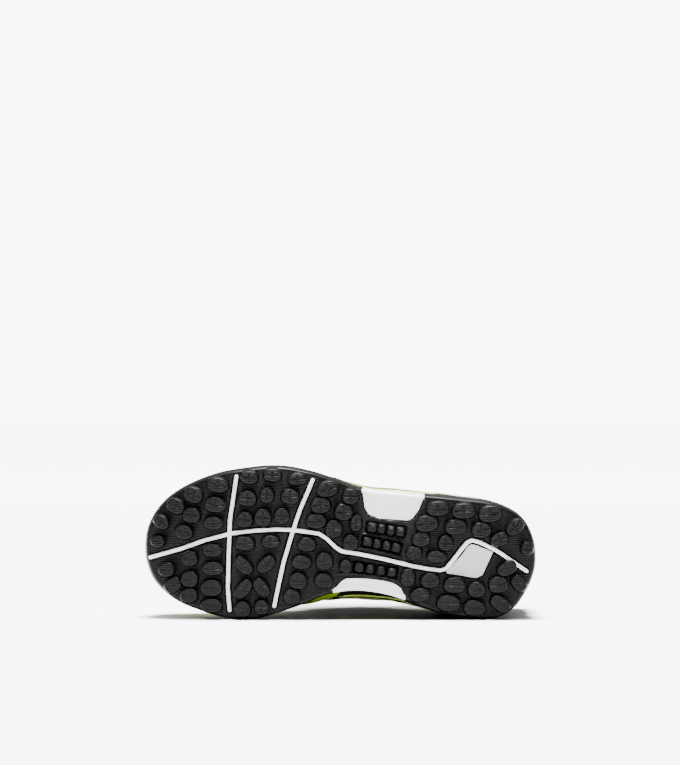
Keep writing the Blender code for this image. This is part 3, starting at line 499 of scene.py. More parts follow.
def treadRelief(points):
    # How far the rubber between the lugs is cut in, upwards: grooves beside the ribs, windows of the
    # plates and pockets of the blocks, less the thin ridges
    cut = np.zeros(points.shape[:-1])
    reach = ribs["width"] / 2 + ribs["groove"]
    fromEdge = ease(np.minimum(points[..., 1] - points[:, :1, 1], points[:, -1:, 1] - points[..., 1]),
                    0.0006, 0.0016)
    for route in routes.values():
        away = awayFrom(points, route[::6])
        groove = 1 - ease(away, reach - 0.0001, reach + 0.0003)
        cut = np.maximum(cut, ribs["grooveDepth"] * groove * fromEdge)
    for polygon in windows.values():
        inWindow = ease(insideBy(points, polygon), -0.0004, 0.0)
        cut = np.maximum(cut, (plates["thick"] + plates["sink"]) * inWindow)
    for first, final in blocks["rows"]:
        start, end = plan(*first), plan(*final)
        run = (end - start) / np.linalg.norm(end - start)
        local = points - (start + end) / 2
        along, across = local @ run, local @ np.array([-run[1], run[0]])
        box = np.minimum(np.linalg.norm(end - start) / 2 + blocks["pocketWidth"] / 2 - np.abs(along),
                         blocks["pocketWidth"] / 2 - np.abs(across))
        cut = np.maximum(cut, blocks["pocketDepth"] * ease(box, -0.0002, 0.0003))
    for rows in blocks["ridges"]:
        away = awayFrom(points, smoothRoute(rows, 6.0)[::4])
        cut = cut - blocks["ridgeHeight"] * (1 - ease(away, 0.0002, blocks["ridgeHalf"] * 1.6))
    return cut


def evenStations(count, crowding):
    # Shares from heel to toe, closer together at both ends
    a = np.linspace(0, 1, count)
    return a * (1 - crowding) + crowding * (1 - np.cos(math.pi * a)) / 2


cup = {"along": 430, "across": 150, "lip": 0.0005, "grooveUp": [0.74, 0.84], "grooveDeep": 0.0004,
       "flare": 0.0010}


def wallFlare(share, side, up):
    # How far the wall leans out: full from half its height, and none on the side that lies on the floor
    onFloor = ease(share, 0.02, 0.12) * (1 - ease(share, 0.88, 0.98))
    return cup["flare"] * ease(up, 0.0, 0.5) * np.where(side > 0, 1.0, 1.0 - onFloor)


def roundSole(shares):
    # Shares and sides of a ring: from heel to toe along the outer side, and back along the inner one
    return (np.concatenate([shares, shares[-2:0:-1]]),
            np.concatenate([np.ones(len(shares)), -np.ones(len(shares) - 2)]))


shares = evenStations(cup["along"], 0.4)
outerEdge = soleEdge(shares, 1, shoe["edgeRound"])[0]
innerEdge = soleEdge(shares, -1, shoe["edgeRound"])[0]
blend = np.linspace(0, 1, cup["across"])[None, :, None]
treadPlan = innerEdge[:, None] * (1 - blend) + outerEdge[:, None] * blend
relief = treadRelief(treadPlan)
treadPoints = onSole(treadPlan, relief)

rimShare, rimSide = roundSole(shares)
rimRelief = np.concatenate([relief[:, -1], relief[-2:0:-1, 0]])
rimWindow = rimRelief / (plates["thick"] + plates["sink"])


def cupRing(inset, up, lift, sink=0.0, lean=0.0):
    # Ring round the cup: up is the share of its height, lift a length on top of that; sink is how far
    # the plates' windows are cut in there, and lean is 1 on the outside, which flares, 0 on the inside
    deep = sink * np.clip(rimWindow, 0, 1) * plates["thick"] - lean * wallFlare(rimShare, rimSide, up)
    place = soleEdge(rimShare, rimSide, inset + deep)[0]
    low, high = underside(place[:, 0]), cupTop(place[:, 0])
    return np.concatenate([place, (low + (high - low) * up + lift)[:, None]], -1)


radius, step, wall = shoe["edgeRound"], shoe["cupStep"], shoe["cupWall"]
rings = []
for turn in np.radians([0, 15, 30, 45, 60, 75, 90]):
    ring = cupRing(radius * (1 - math.sin(turn)), 0, radius * (1 - math.cos(turn)), math.sin(turn))
    ring[:, 2] += rimRelief * math.cos(turn)
    rings.append(ring)
profile = [(0.0, 0.35, 0.0), (0.0, 0.52, 0.0), (0.0, 0.55, -0.0002), (0.0002, 0.55, 0.0002),
           (step - 0.0001, 0.55, step - 0.0002), (step, 0.55, step + 0.0002)]
for up in cup["grooveUp"]:
    profile += [(step, up, -0.0005), (step + cup["grooveDeep"], up, -0.0001),
                (step + cup["grooveDeep"], up, 0.0001), (step, up, 0.0005)]
profile += [(step, 1.0, -cup["lip"]), (step + 0.00015, 1.0, -0.00015), (step + cup["lip"], 1.0, 0.0)]
for inset, up, lift in profile:
    rings.append(cupRing(inset, up, lift, 1.0, 1.0))
for inset, up, lift in [(wall - 0.0003, 1.0, 0.0), (wall, 1.0, -0.0003), (wall, 0.5, 0.0),
                        (wall, 0.0, shoe["base"])]:
    rings.append(cupRing(inset, up, lift))
rimCount = len(rimShare)
treadCount = treadPoints.shape[0] * treadPoints.shape[1]
floorFirst = treadCount + (len(rings) - 1) * rimCount
half = np.arange(1, len(shares) - 2)
floorFaces = np.stack([floorFirst + half, floorFirst + half + 1, floorFirst + rimCount - half - 1,
                       floorFirst + rimCount - half], -1)
middle = len(shares) - 2
ends = [[floorFirst, floorFirst + 1, floorFirst + rimCount - 1],
        [floorFirst + middle, floorFirst + middle + 1, floorFirst + middle + 2]]
faces = (gridFaces(*treadPoints.shape[:2]).tolist()
         + gridFaces(len(rings), rimCount, True, treadCount).tolist() + floorFaces.tolist() + ends)
onTread = np.concatenate([np.ones(treadCount), np.zeros(len(rings) * rimCount)])
cupSole = addPiece("cupSole", np.concatenate([treadPoints.reshape(-1, 3)] + rings), faces, rubber,
                   {"treadFace": onTread})
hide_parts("outsole")
print("cup sole", len(faces))

# lugs: each a square grid bent onto an oval, with a cross of fine cuts, and a side below it

lugs = {
    "squareness": 2.5, "crown": 0.00022, "cutIn": 0.015, "cutOut": 0.165, "cutDeep": [0.00016, 0.00046],
    "nodes": [0.0, 0.02, 0.09, 0.16, 0.21, 0.32, 0.46, 0.62, 0.76, 0.88, 1.0],
    # Side, ring by ring: outwards, share of the way from tip to root, extra length upwards
    "side": [(-0.00035, 0.0, 0.00004), (-0.00010, 0.0, 0.00015), (0.00008, 0.0, 0.00036),
             (0.00018, 0.0, 0.00066), (0.00050, 0.70, 0.0), (0.00075, 0.92, 0.0), (0.00120, 1.0, 0.00015)],
    "topInset": 0.0006, "grow": 0.0005, "root": 0.0012,
    "rows": [
        (96.3, 60, 8, 6, 30), (92.8, 79, 9, 7, 22), (88.2, 84, 9.5, 7.5, 15), (81.9, 86, 11, 7, 8),
        (96.8, 10, 7, 5.5, 10), (90.1, 24, 9.5, 6.5, 12), (88.3, 50, 9, 7.5, 0), (82.3, 59, 11, 7.5, 5),
        (82.6, 34, 10, 6, 0),
        (73.9, 89, 9, 6, 0), (68.0, 90, 9, 6, 0), (61.7, 88, 9, 5.5, -5), (74.1, 63, 9, 7.5, 0),
        (69.2, 66, 7, 7.5, 0), (63.3, 66, 9, 7.5, 0), (74.6, 37, 8, 7.5, 0), (70.0, 39, 8.5, 8.5, 0),
        (65.2, 42, 7.5, 7.5, 0),
        (53.8, 86, 11, 7.5, -15), (47.9, 84, 8, 7.5, 0), (55.4, 61, 10, 7.5, -8), (49.5, 59, 9, 8, 0),
        (56.4, 40, 10, 7, -5), (51.8, 33, 8.5, 8.5, 0), (46.2, 46, 5.5, 8, 0), (47.4, 16, 7.5, 7.5, 0),
        (25.6, 80, 11.5, 7, -5), (19.0, 80, 12, 7.5, -5), (12.2, 80, 12, 8, -8), (5.4, 74, 9.5, 6.5, -40),
        (2.4, 35, 6, 6, 0), (28.2, 54, 11.5, 8, -10), (20.8, 52, 11, 7.5, -8), (14.3, 50, 10, 7.5, -8),
        (9.6, 37, 9, 6.5, -18), (29.5, 28, 9, 7, -10), (23.3, 24, 7, 7.5, 0), (31.2, 5, 8, 6, -8),
        (25.4, 0, 10, 5.5, 0),
        (88.3, -20, 8, 7, 0), (82.5, -4, 10, 6, 0), (94.2, -51, 8, 7, 0), (88.1, -54, 8.5, 8, 0),
        (82.3, -31, 11, 6.5, 0), (92.6, -78, 9, 7, -30), (82.4, -60, 11, 8, 0), (88.1, -81, 9, 7, -8),
        (82.2, -86, 11, 6.5, 0),
        (74.3, 7, 10, 6.5, 0), (67.8, 10, 9, 6, 0), (74.4, -23, 11, 6.5, 42), (68.7, -21, 10.5, 6.5, -42),
        (74.2, -56, 11, 6.5, -52), (69.6, -55, 10.5, 6.5, 52), (74.2, -85, 8, 7.5, 0),
        (69.4, -84, 7, 7, 0),
        (58.5, 9, 9, 6.5, 0), (53.9, -20, 8.5, 8.5, 0), (59.7, -20, 10, 6.5, 0), (60.4, -53, 9, 8, 0),
        (53.9, -64, 9, 7, 0), (61.8, -79, 8.5, 7.5, 0), (48.4, -34, 6, 6, 0),
        (32.5, -48, 7, 8.5, 0), (26.8, -45, 9.5, 7, -5), (20.6, -47, 11, 7.5, 0), (14.9, -51, 9, 7.5, 0),
        (9.4, -43, 10, 8, -10), (7.4, -16, 10, 6.5, -25), (3.4, -62, 9, 6.5, 50), (29.2, -77, 10, 6.5, -8),
        (21.9, -79, 12, 8, 0), (15.3, -81, 11, 7.5, 0), (8.5, -79, 11, 7, 32),
    ],
}
outlinePolygon = soleEdge(*roundSole(evenStations(140, 0.7)), 0.0)[0]


def ovalMeshes(centers, lengths, breadths, turns, squareness, height, root, cutDeep):
    # Top: square grid (u, v), each ring stretched towards the superellipse. Side: its border moved
    # outwards ring by ring. Both turned in plan and hung below the underside.
    nodes = np.array(lugs["nodes"])
    nodes = np.concatenate([-nodes[:0:-1], nodes])
    count = len(nodes)
    total = count * count
    u, v = np.meshgrid(nodes, nodes, indexing="ij")
    ring = np.maximum(np.abs(u), np.abs(v))
    safe = np.where(ring > 0, ring, 1)
    reach = ((np.abs(u) / safe) ** squareness + (np.abs(v) / safe) ** squareness + 1e-12) ** (-1 / squareness)
    stretch = 1 + (reach - 1) * ring**1.5
    slots = [(1 - ease(np.abs(p), lugs["cutIn"], lugs["cutOut"])) * (1 - ease(np.abs(q), 0.84, 0.97))
             for p, q in ((u, v), (v, u))]
    cuts = np.maximum(*slots).ravel() * cutDeep[:, None]
    order = ([(i, 0) for i in range(count)] + [(count - 1, j) for j in range(1, count)]
             + [(i, count - 1) for i in range(count - 2, -1, -1)] + [(0, j) for j in range(count - 2, 0, -1)])
    border = np.array([i * count + j for i, j in order])
    localU, localV = (u * stretch).ravel(), (v * stretch).ravel()
    halfL = (lengths / 2 - lugs["topInset"])[:, None]
    halfB = (breadths / 2 - lugs["topInset"])[:, None]
    a, b = localU * halfL, localV * halfB
    drop = (lugs["crown"] * ring**2).ravel() + cuts
    rowsA, rowsB, drops = [a], [b], [drop]
    away = unit(np.stack([localU[border], localV[border]], -1))
    for out, share, extra in lugs["side"]:
        grow = lugs["topInset"] + out
        rowsA.append(a[:, border] + away[:, 0] * grow)
        rowsB.append(b[:, border] + away[:, 1] * grow)
        drops.append(np.full((len(a), len(border)), share * height + extra + lugs["crown"]))
    rowsA.append(np.zeros((len(a), 1)))
    rowsB.append(np.zeros((len(a), 1)))
    drops.append(np.full((len(a), 1), height + root))
    a, b, drop = (np.concatenate(rows, 1) for rows in (rowsA, rowsB, drops))
    cosine, sine = np.cos(turns)[:, None], np.sin(turns)[:, None]
    flat = np.stack([centers[:, 0:1] + cosine * a - sine * b, centers[:, 1:2] + sine * a + cosine * b], -1)
    # Kept inside the sole's outline: a lug that reaches past it is moved in, square to it
    probe = 0.0005
    inwards = unit(np.stack([insideBy(centers + probe * axis, outlinePolygon)
                             - insideBy(centers - probe * axis, outlinePolygon) for axis in np.eye(2)], -1))
    short = np.maximum(0.0, -insideBy(flat[:, total:], outlinePolygon).min(axis=1))
    flat += (inwards * short[:, None])[:, None]
    points = onSole(flat, drop - height)
    # Faces of one, then repeated
    edges = len(border)
    quads = gridFaces(count, count).tolist()
    quads += np.stack([border, np.roll(border, -1), total + np.roll(np.arange(edges), -1),
                       total + np.arange(edges)], -1).tolist()
    quads += gridFaces(len(lugs["side"]), edges, True, total).tolist()
    final = total + (len(lugs["side"]) - 1) * edges
    pole = total + len(lugs["side"]) * edges
    caps = np.stack([final + np.arange(edges), final + np.roll(np.arange(edges), -1),
                     np.full(edges, pole)], -1)
    each = points.shape[1]
    allFaces = []
    for k in range(len(points)):
        allFaces += (np.array(quads) + k * each).tolist() + (caps + k * each).tolist()
    onTop = np.tile(np.arange(each) < total, len(points)) * 1.0
    return points.reshape(-1, 3), allFaces, {"treadFace": onTop}


rows = np.array(lugs["rows"], float)
cutDeep = np.interp(rows[:, 1], [-90, 90], lugs["cutDeep"])
points, faces, onTop = ovalMeshes(plan(rows[:, 0], rows[:, 1]), rows[:, 2] / 1000 + lugs["grow"],
                                  rows[:, 3] / 1000 + lugs["grow"], np.radians(rows[:, 4]),
                                  lugs["squareness"], shoe["lugHeight"], lugs["root"], cutDeep)
addPiece("treadLugs", points, faces, rubber, onTop)
centers, runs, sides = (np.array(values) for values in zip(*blockPlaces))
points, faces, onTop = ovalMeshes(centers, sides, np.full(len(sides), blocks["breadth"]),
                                  np.arctan2(runs[:, 1], runs[:, 0]), blocks["squareness"],
                                  blocks["height"], blocks["root"], np.zeros(len(sides)))
addPiece("treadBlocks", points, faces, rubber, onTop)
print("lugs", len(rows), "blocks", len(centers))

# pale ribs: a soft-edged profile carried along each route, with round ends


def ribMesh(route, lower):
    # Profile round the rib, across and up, carried along the route; the ends close as half circles
    half, soft, root = ribs["width"] / 2, ribs["soft"], ribs["root"]
    right = [(half - soft + soft * math.sin(t), -ribs["proud"] + soft - soft * math.cos(t))
             for t in np.radians([0, 30, 60, 90])]
    profile = np.array([(-a, h) for a, h in right[::-1]] + right + [(half, root), (-half, root)])
    along = unit(np.gradient(route, axis=0))
    turns = np.radians(np.arange(90, 0, -10))
    starts = route[0] - along[0] * half * np.sin(turns)[:, None]
    finals = route[-1] + along[-1] * half * np.sin(turns[::-1])[:, None]
    line = np.concatenate([starts, route, finals])
    heading = np.concatenate([np.repeat(along[:1], len(turns), 0), along,
                              np.repeat(along[-1:], len(turns), 0)])
    narrow = np.concatenate([np.cos(turns), np.ones(len(route)), np.cos(turns[::-1])])
    across = np.stack([-heading[:, 1], heading[:, 0]], -1)
    flat = line[:, None] + across[:, None] * (profile[None, :, 0] * narrow[:, None])[..., None]
    points = onSole(flat, lower + profile[None, :, 1] + (1 - narrow[:, None]) * soft * 0.8)
    return points.reshape(-1, 3), gridFaces(len(line), len(profile), True)


for key, lower in (("long", 0.0), ("ball", 0.00006), ("waist", 0.00009)):
    points, faces = ribMesh(routes[key], lower)
    addPiece(key + "Rib", points, faces, ribPlastic)
print("ribs")

# arch plates: a sheet on the cup's own form, from the sole face round its edge and up the wall


def archPlate(key, side):
    # Rows run across the sole to the edge, round it and up the wall; columns from the rear edge of the
    # plate to its front edge, both read from the window's outline less the gap
    rows = np.array(plates[key], float)
    rows[:, 1] *= side
    split = int(np.argmin(rows[:, 1]))
    front, rear = rows[:split + 1][::-1], rows[split + 1:]
    if rear[0, 1] > front[0, 1]:
        rear = np.vstack([[rear[0, 0] + 1.5, front[0, 1]], rear])
    start = front[0, 1] + 1.2
    gap = 100 * plates["gap"] / shoe["length"]
    levels = start + (93.5 - start) * np.linspace(0, 1, 22) ** 1.5
    columns = np.linspace(0, 1, 60)
    ahead = np.interp(levels, front[:, 1], front[:, 0]) - gap
    behind = np.interp(levels, rear[:, 1], rear[:, 0]) + gap
    along = behind[:, None] + (ahead - behind)[:, None] * columns
    flat = plan(along, np.broadcast_to(levels[:, None] * side, along.shape))
    sheet = [onSole(flat, plates["sink"])]
    edgeAhead = np.interp(100, front[:, 1], front[:, 0]) - gap
    edgeBehind = np.interp(100, rear[:, 1], rear[:, 0]) + gap
    share = (edgeBehind + (edgeAhead - edgeBehind) * columns) / 100
    wallRows = [(radius * (1 - math.sin(t)), 0.0, radius * (1 - math.cos(t)) + plates["sink"] * math.cos(t))
                for t in np.radians([0, 15, 30, 45, 60, 75, 90])]
    wallRows += [(0.0, up, 0.0) for up in (0.35, 0.52)] + [(0.0, 0.55, -0.0002), (0.0003, 0.55, 0.0003)]
    wallRows += [(step, 0.55, step)] + [(step, up, 0.0) for up in (0.7, 0.85)] + [(step, 1.0, -0.0003)]
    wallRows += [(step + 0.0003, 1.0, 0.0), (step + 0.0009, 1.0, 0.00002)]
    for inset, up, lift in wallRows:
        place = soleEdge(share, side, inset - wallFlare(share, side, up))[0]
        low, high = underside(place[:, 0]), cupTop(place[:, 0])
        sheet.append(np.concatenate([place, (low + (high - low) * up + lift)[:, None]], -1)[None])
    points = np.concatenate(sheet)
    faces = gridFaces(*points.shape[:2])
    if side > 0:
        faces = faces[:, ::-1]
    solid = ("SOLIDIFY", {"thickness": plates["thick"] - 0.0002, "offset": -1.0})
    bevel = ("BEVEL", {"width": plates["edgeBevel"], "segments": 3, "angle_limit": math.radians(50)})
    return addPiece(key + "ArchPlate", points, faces, ribPlastic, None, False, (solid, bevel))


archPlate("outer", 1)
archPlate("inner", -1)

badge = {"rings": 9, "around": 160, "inset": 0.00035, "besideRib": 0.00035}
closed = np.concatenate([windows["heel"], windows["heel"][:1]])
run = runAlong(closed)
outline = readAlong(np.linspace(0, run[-1], badge["around"], endpoint=False), run, closed)
window = np.hanning(9)
outline = np.stack([np.convolve(np.concatenate([outline[-4:, k], outline[:, k], outline[:4, k]]),
                                window / window.sum(), "valid") for k in (0, 1)], -1)
centre = outline.mean(0)
# Where the rib runs beside it, its edge stands off from the rib
short = np.maximum(0.0, ribs["width"] / 2 + badge["besideRib"] - awayFrom(outline, routes["long"][::3]))
outline += unit(centre - outline) * (short * 1.2)[:, None]
outwards = unit(outline - centre)
distance = np.linalg.norm(outline - centre, axis=1, keepdims=True) - badge["inset"]
back, face = plates["thick"] + plates["sink"], plates["sink"]
# Rings from the middle of its back, over the edge, to the middle of its face: inset, share, lift
badgeRows = [(0.0, 0.0, back), (0.0, 1.0, back), (0.0, 1.0, face + 0.0003), (0.0001, 1.0, face + 0.00008),
             (0.0003, 1.0, face)]
badgeRows += [(0.0003, share, face) for share in np.linspace(0.92, 0.0, badge["rings"])]
badgeRings = [onSole(centre + outwards * (distance - inset) * share, lift)
              for inset, share, lift in badgeRows]
addPiece("heelPlate", np.concatenate(badgeRings), gridFaces(len(badgeRings), badge["around"], True),
         badgePlastic)
print("plates")

# foam body in the cup and the insole on it


def filledRings(rings):
    # Closed solid through rings round the sole, its first and last ring capped by strips across
    count = len(rings[0])
    sections = (count + 2) // 2
    faces = gridFaces(len(rings), count, True).tolist()
    for first in (0, (len(rings) - 1) * count):
        faces += [[first, first + 1, first + count - 1],
                  [first + sections - 2, first + sections - 1, first + sections]]
        faces += [[first + i, first + i + 1, first + count - i - 1, first + count - i]
                  for i in range(1, sections - 2)]
    return np.concatenate(rings), faces


def bodyRing(inset, height, lift=0.0):
    # Ring round the shoe at an inset from the sole's edge, a lift above a surface
    place = soleEdge(*roundSole(evenStations(150, 0.6)), inset)[0]
    return np.concatenate([place, (height(place[:, 0]) + lift)[:, None]], -1)


gap = shoe["gap"]
points, faces = filledRings([bodyRing(wall + gap, underside, shoe["base"] + gap),
                             bodyRing(wall + gap, midsoleTop)])
foamBody = addPiece("foamBody", points, faces, foam)
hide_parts("midsole")

sock = {"thick": 0.0030, "wall": 0.0022, "round": 0.0008}
inset = wall + sock["wall"] + 4 * gap
thick, soft = sock["thick"], sock["round"]
sockRows = [(0.0004, 0.0), (0.0, 0.0004), (0.0, thick - soft), (soft * 0.3, thick - soft * 0.3),
            (soft, thick), (0.004, thick - 0.0002)]
points, faces = filledRings([bodyRing(inset + further, midsoleTop, gap + lift) for further, lift in sockRows])
sockLiner = addPiece("sockLiner", points, faces, knitCloth)
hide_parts("insole")
print("foam and insole")

# upper: one hollow wall with a padded collar

upper = {
    "wall": 0.0022, "collarPad": 0.0060, "fullness": 0.0085, "waistFill": 0.0020, "squareness": 2.6,
    "swellHeight": 0.45, "stations": 150, "rowsUp": 46, "rollRows": 7, "rowsDown": 22,
    "collar": [(0.00, 0.020, 0.00, 1.00), (0.05, 0.046, 0.30, 0.97), (0.12, 0.115, 0.43, 0.87),
               (0.20, 0.195, 0.44, 0.81), (0.28, 0.275, 0.41, 0.83), (0.34, 0.338, 0.36, 0.95)],
    "throat": [(0.40, 0.405, 0.98), (0.48, 0.475, 0.90), (0.56, 0.545, 0.78), (0.61, 0.590, 0.66),
               (0.640, 0.618, 0.48), (0.655, 0.632, 0.28)],
    "ridge": [(0.665, 0.638), (0.75, 0.710), (0.85, 0.778), (0.93, 0.822), (1.00, 0.850)],
    "crown": [(0.28, 1.18), (0.34, 1.09), (0.42, 0.98), (0.50, 0.87), (0.58, 0.765), (0.66, 0.670),
              (0.74, 0.595), (0.82, 0.530), (0.86, 0.490), (0.95, 0.42)],
    "bulge": [(0.0, 0.30, 0.30), (0.20, 0.42, 0.40), (0.29, 0.55, 0.62), (0.39, 0.62, 1.00),
              (0.48, 0.58, 0.96), (0.56, 0.48, 0.66), (0.65, 0.36, 0.36), (0.80, 0.26, 0.26),
              (1.0, 0.16, 0.16)],
    "eyeletRows": [0.595, 0.555, 0.510, 0.465, 0.420], "eyeletRadius": 0.0016, "eyeletInset": 0.0070,
}


def crown(x):
    return shoe["instepHeight"] * readCurve(upper["crown"], 1, np.asarray(x) / shoe["length"])


def instepArch(x, y):
    # Surface over the instep that throat edge, tongue and lace all follow: the crown less an arch in y
    return crown(x) - shoe["throatArch"] * np.asarray(y) ** 2


def instepNormal(x, y):
    step = 0.001
    riseX = (instepArch(x + step, y) - instepArch(x - step, y)) / (2 * step)
    riseY = (instepArch(x, y + step) - instepArch(x, y - step)) / (2 * step)
    return unit(np.stack([-riseX, -riseY, np.ones_like(riseX)], -1))


topRows = [(s, x * shoe["length"], w * shoe["heelWidth"], h * shoe["heelHeight"])
           for s, x, w, h in upper["collar"]]
for s, x, w in upper["throat"]:
    halfThroat = w * shoe["throatWidth"] / 2
    topRows.append((s, x * shoe["length"], halfThroat, float(instepArch(x * shoe["length"], halfThroat))))
topRows += [(s, x * shoe["length"], 0.0, float(crown(x * shoe["length"]))) for s, x in upper["ridge"]]
ridgeStart = upper["ridge"][0][0]


def topPoint(share, side):
    # Top end of a section: collar line, then throat edge, then the ridge of the vamp
    x, across, height = (readCurve(topRows, column, share) for column in (1, 2, 3))
    onRidge = share >= ridgeStart - 1e-9
    across = np.where(onRidge, 0.0, np.maximum(0.0, across))
    height = np.where(onRidge, crown(x), height)
    return np.stack([x, side * across, height], -1)


def upperPoint(share, side, height):
    # Outer face of the upper: height is 0 at the foot of its wall and 1 at its top line. Above the cup
    # the wall swells out by a quarter sine, and closes to the top point as a superellipse.
    share, side, height = np.broadcast_arrays(*(np.asarray(v, float) for v in (share, side, height)))
    foot, outward = soleEdge(share, side, wall + gap)
    low = midsoleTop(foot[..., 0]) + gap
    top = topPoint(share, side)
    free = (cupTop(foot[..., 0]) + gap - low) / (top[..., 2] - low)
    power = upper["squareness"]
    inwards = 1 - np.maximum(0.0, 1 - np.clip(height, 0, None) ** power) ** (1 / power)
    out = upper["fullness"] * np.where(side > 0, readCurve(upper["bulge"], 1, share),
                                       readCurve(upper["bulge"], 2, share))
    swell = np.clip((height - free) / (1 - free) / upper["swellHeight"], 0, 1)
    # At the inner waist it is fuller just above the cup
    atWaist = ease(share, 0.34, 0.42) * (1 - ease(share, 0.56, 0.64)) * np.where(side < 0, 1.0, 0.0)
    fill = upper["waistFill"] * atWaist * ease(swell, 0.0, 0.3) * (1 - ease(swell, 0.6, 1.0))
    girth = foot + outward * (out * np.sin(math.pi / 2 * swell) + fill)[..., None]
    spot = girth * (1 - inwards[..., None]) + top[..., :2] * inwards[..., None]
    return np.concatenate([spot, (low + (top[..., 2] - low) * height)[..., None]], -1)


def freeHeight(share, side):
    foot = soleEdge(share, side, wall + gap)[0]
    low = midsoleTop(foot[..., 0]) + gap
    return (cupTop(foot[..., 0]) + gap - low) / (topPoint(share, side)[..., 2] - low)


# Stations from heel to toe, with closer ones at the front of the throat
even = evenStations(upper["stations"], 0.75)
atThroatEnd = np.array([0.640, 0.648, 0.655, 0.658, 0.661, 0.6635, ridgeStart])
even = even[np.min(np.abs(even[:, None] - atThroatEnd), axis=1) > 0.002]
stations = np.sort(np.concatenate([even, atThroatEnd]))
wrapShare, wrapSide = roundSole(stations)
free = freeHeight(wrapShare, wrapSide)
turns = np.linspace(0, math.pi / 2, upper["rowsUp"])
heights = np.concatenate([np.zeros((len(wrapShare), 1)), free[:, None] * 0.6,
                          free[:, None] + (1 - free[:, None]) * np.sin(turns)], 1)
skinPoints = upperPoint(wrapShare[:, None], wrapSide[:, None], heights)

# Outward directions: cross product of the grid's two directions
around = np.roll(skinPoints, -1, axis=0) - np.roll(skinPoints, 1, axis=0)
normals = unit(-np.cross(around, np.gradient(skinPoints, axis=1)))
isRidge = wrapShare >= ridgeStart - 1e-9
normals[isRidge, -1, 1] = 0.0
normals[np.linalg.norm(normals, axis=-1) < 0.01] = [0.0, 0.0, 1.0]
normals = unit(normals)

# Signed distances and steps that follow the sections
pathUp = np.concatenate([np.zeros((len(wrapShare), 1)),
                         np.cumsum(np.linalg.norm(np.diff(skinPoints, axis=1), axis=-1), 1)], 1)
aboveCup = pathUp - pathUp[:, 2:3]
belowTop = pathUp[:, -1:] - pathUp
xShare = skinPoints[..., 0] / shoe["length"]
panel = {"front": 0.476, "lean": 0.70, "step": 0.0006, "stayFrom": 0.33, "tipFrom": 0.650,
         "stayWidth": 0.0125, "counterLong": 0.056, "counterHigh": 0.040, "puff": 0.0008}
# Soft creases where the shoe bends: share along at the sole, lean towards the toe per metre of height,
# depth and half width in millimetres, the share of the height where each begins; below zero is a ridge
creases = [(0.748, 0.9, 0.35, 2.4, 0.45), (0.728, 0.8, -0.25, 2.2, 0.45), (0.706, 0.6, 0.75, 2.6, 0.38),
           (0.682, 0.4, -0.35, 2.4, 0.40), (0.660, 0.3, 0.65, 2.5, 0.36), (0.636, 0.1, -0.25, 2.4, 0.42),
           (0.612, 0.0, 0.40, 2.6, 0.45), (0.375, -0.6, 0.60, 3.0, 0.50), (0.340, -0.8, -0.35, 2.8, 0.55),
           (0.305, -0.9, 0.45, 2.8, 0.60)]

quarterEdge = (panel["front"] * shoe["length"] + panel["lean"] * aboveCup - skinPoints[..., 0]) / 1.2
throatShare = np.linspace(panel["stayFrom"], ridgeStart, 60)
throatLine = np.concatenate([topPoint(throatShare, 1.0), topPoint(throatShare[::-1], -1.0)])
stayEdge = panel["stayWidth"] - awayFrom(skinPoints, throatLine)
blackEdge = np.maximum(quarterEdge, stayEdge)
counterEdge = np.minimum(panel["counterLong"] - skinPoints[..., 0] - 0.9 * np.maximum(0.0, aboveCup - 0.016),
                         panel["counterHigh"] - aboveCup)
lineReach = ease(xShare, 0.08, 0.30) * ease(quarterEdge, 0.0002, 0.004)
folds = np.zeros_like(aboveCup)
for along, lean, depth, half, begin in creases:
    away = skinPoints[..., 0] - along * shoe["length"] - lean * aboveCup * 0.3
    fade = ease(heights, begin - 0.12, begin + 0.18) * (1 - 0.5 * ease(heights, 0.97, 1.0))
    folds -= depth / 1000 * np.exp(-((away / (half / 1000)) ** 2)) * fade
rise = panel["step"] * (ease(blackEdge, -0.0004, 0.0004) + 0.8 * ease(counterEdge, -0.0004, 0.0004)) + folds
shareGrid = np.broadcast_to(wrapShare[:, None], aboveCup.shape)
padding = ease(heights, 0.45, 0.80) * (1 - ease(shareGrid, 0.24, 0.37))
puff = (panel["puff"] * ease(heights, 0.70, 0.86) * (1 - ease(shareGrid, 0.20, 0.34))
        * np.sqrt(np.clip(1.15 - heights, 0, 1)))
outerSkin = skinPoints + normals * (rise + puff)[..., None]


def joinRidge(skin, column):
    # The two sides share the ridge of the vamp: its points are the mean of both, on the middle line
    count = len(stations)
    own = np.nonzero(isRidge & (np.arange(len(wrapShare)) < count - 1))[0]
    mean = (skin[own, column] + skin[2 * count - 2 - own, column]) / 2
    mean[:, 1] = 0.0
    skin[own, column] = mean
    skin[2 * count - 2 - own, column] = mean
    skin[count - 1, column, 1] = 0.0


# Laid on the floor: nothing of the outer skin goes below it
laid = outerSkin @ layTurn.T + layShift
outerSkin += np.maximum(0.0, 0.0002 - laid[..., 2])[..., None] * layTurn[2]
joinRidge(outerSkin, -1)
thickness = upper["wall"] + (upper["collarPad"] - upper["wall"]) * padding + rise + puff
innerSkin = outerSkin - normals * thickness[..., None]
joinRidge(innerSkin, -1)
keep = np.unique(np.linspace(0, innerSkin.shape[1] - 1, upper["rowsDown"]).astype(int))[::-1]
innerSkin = innerSkin[:, keep]
topOut, topIn = outerSkin[:, -1], innerSkin[:, 0]
upward = outerSkin[:, -1] - outerSkin[:, -3]
across = topOut - topIn
acrossLong = np.linalg.norm(across, axis=1, keepdims=True)
upward = unit(upward - across * (np.sum(upward * across, 1, keepdims=True) / acrossLong**2))
bend = np.linspace(0, math.pi, upper["rollRows"] + 2)[1:-1]
roll = ((topOut + topIn)[:, None] / 2 + across[:, None] / 2 * np.cos(bend)[None, :, None]
        + upward[:, None] * acrossLong[:, None] * 0.42 * np.sin(bend)[None, :, None])
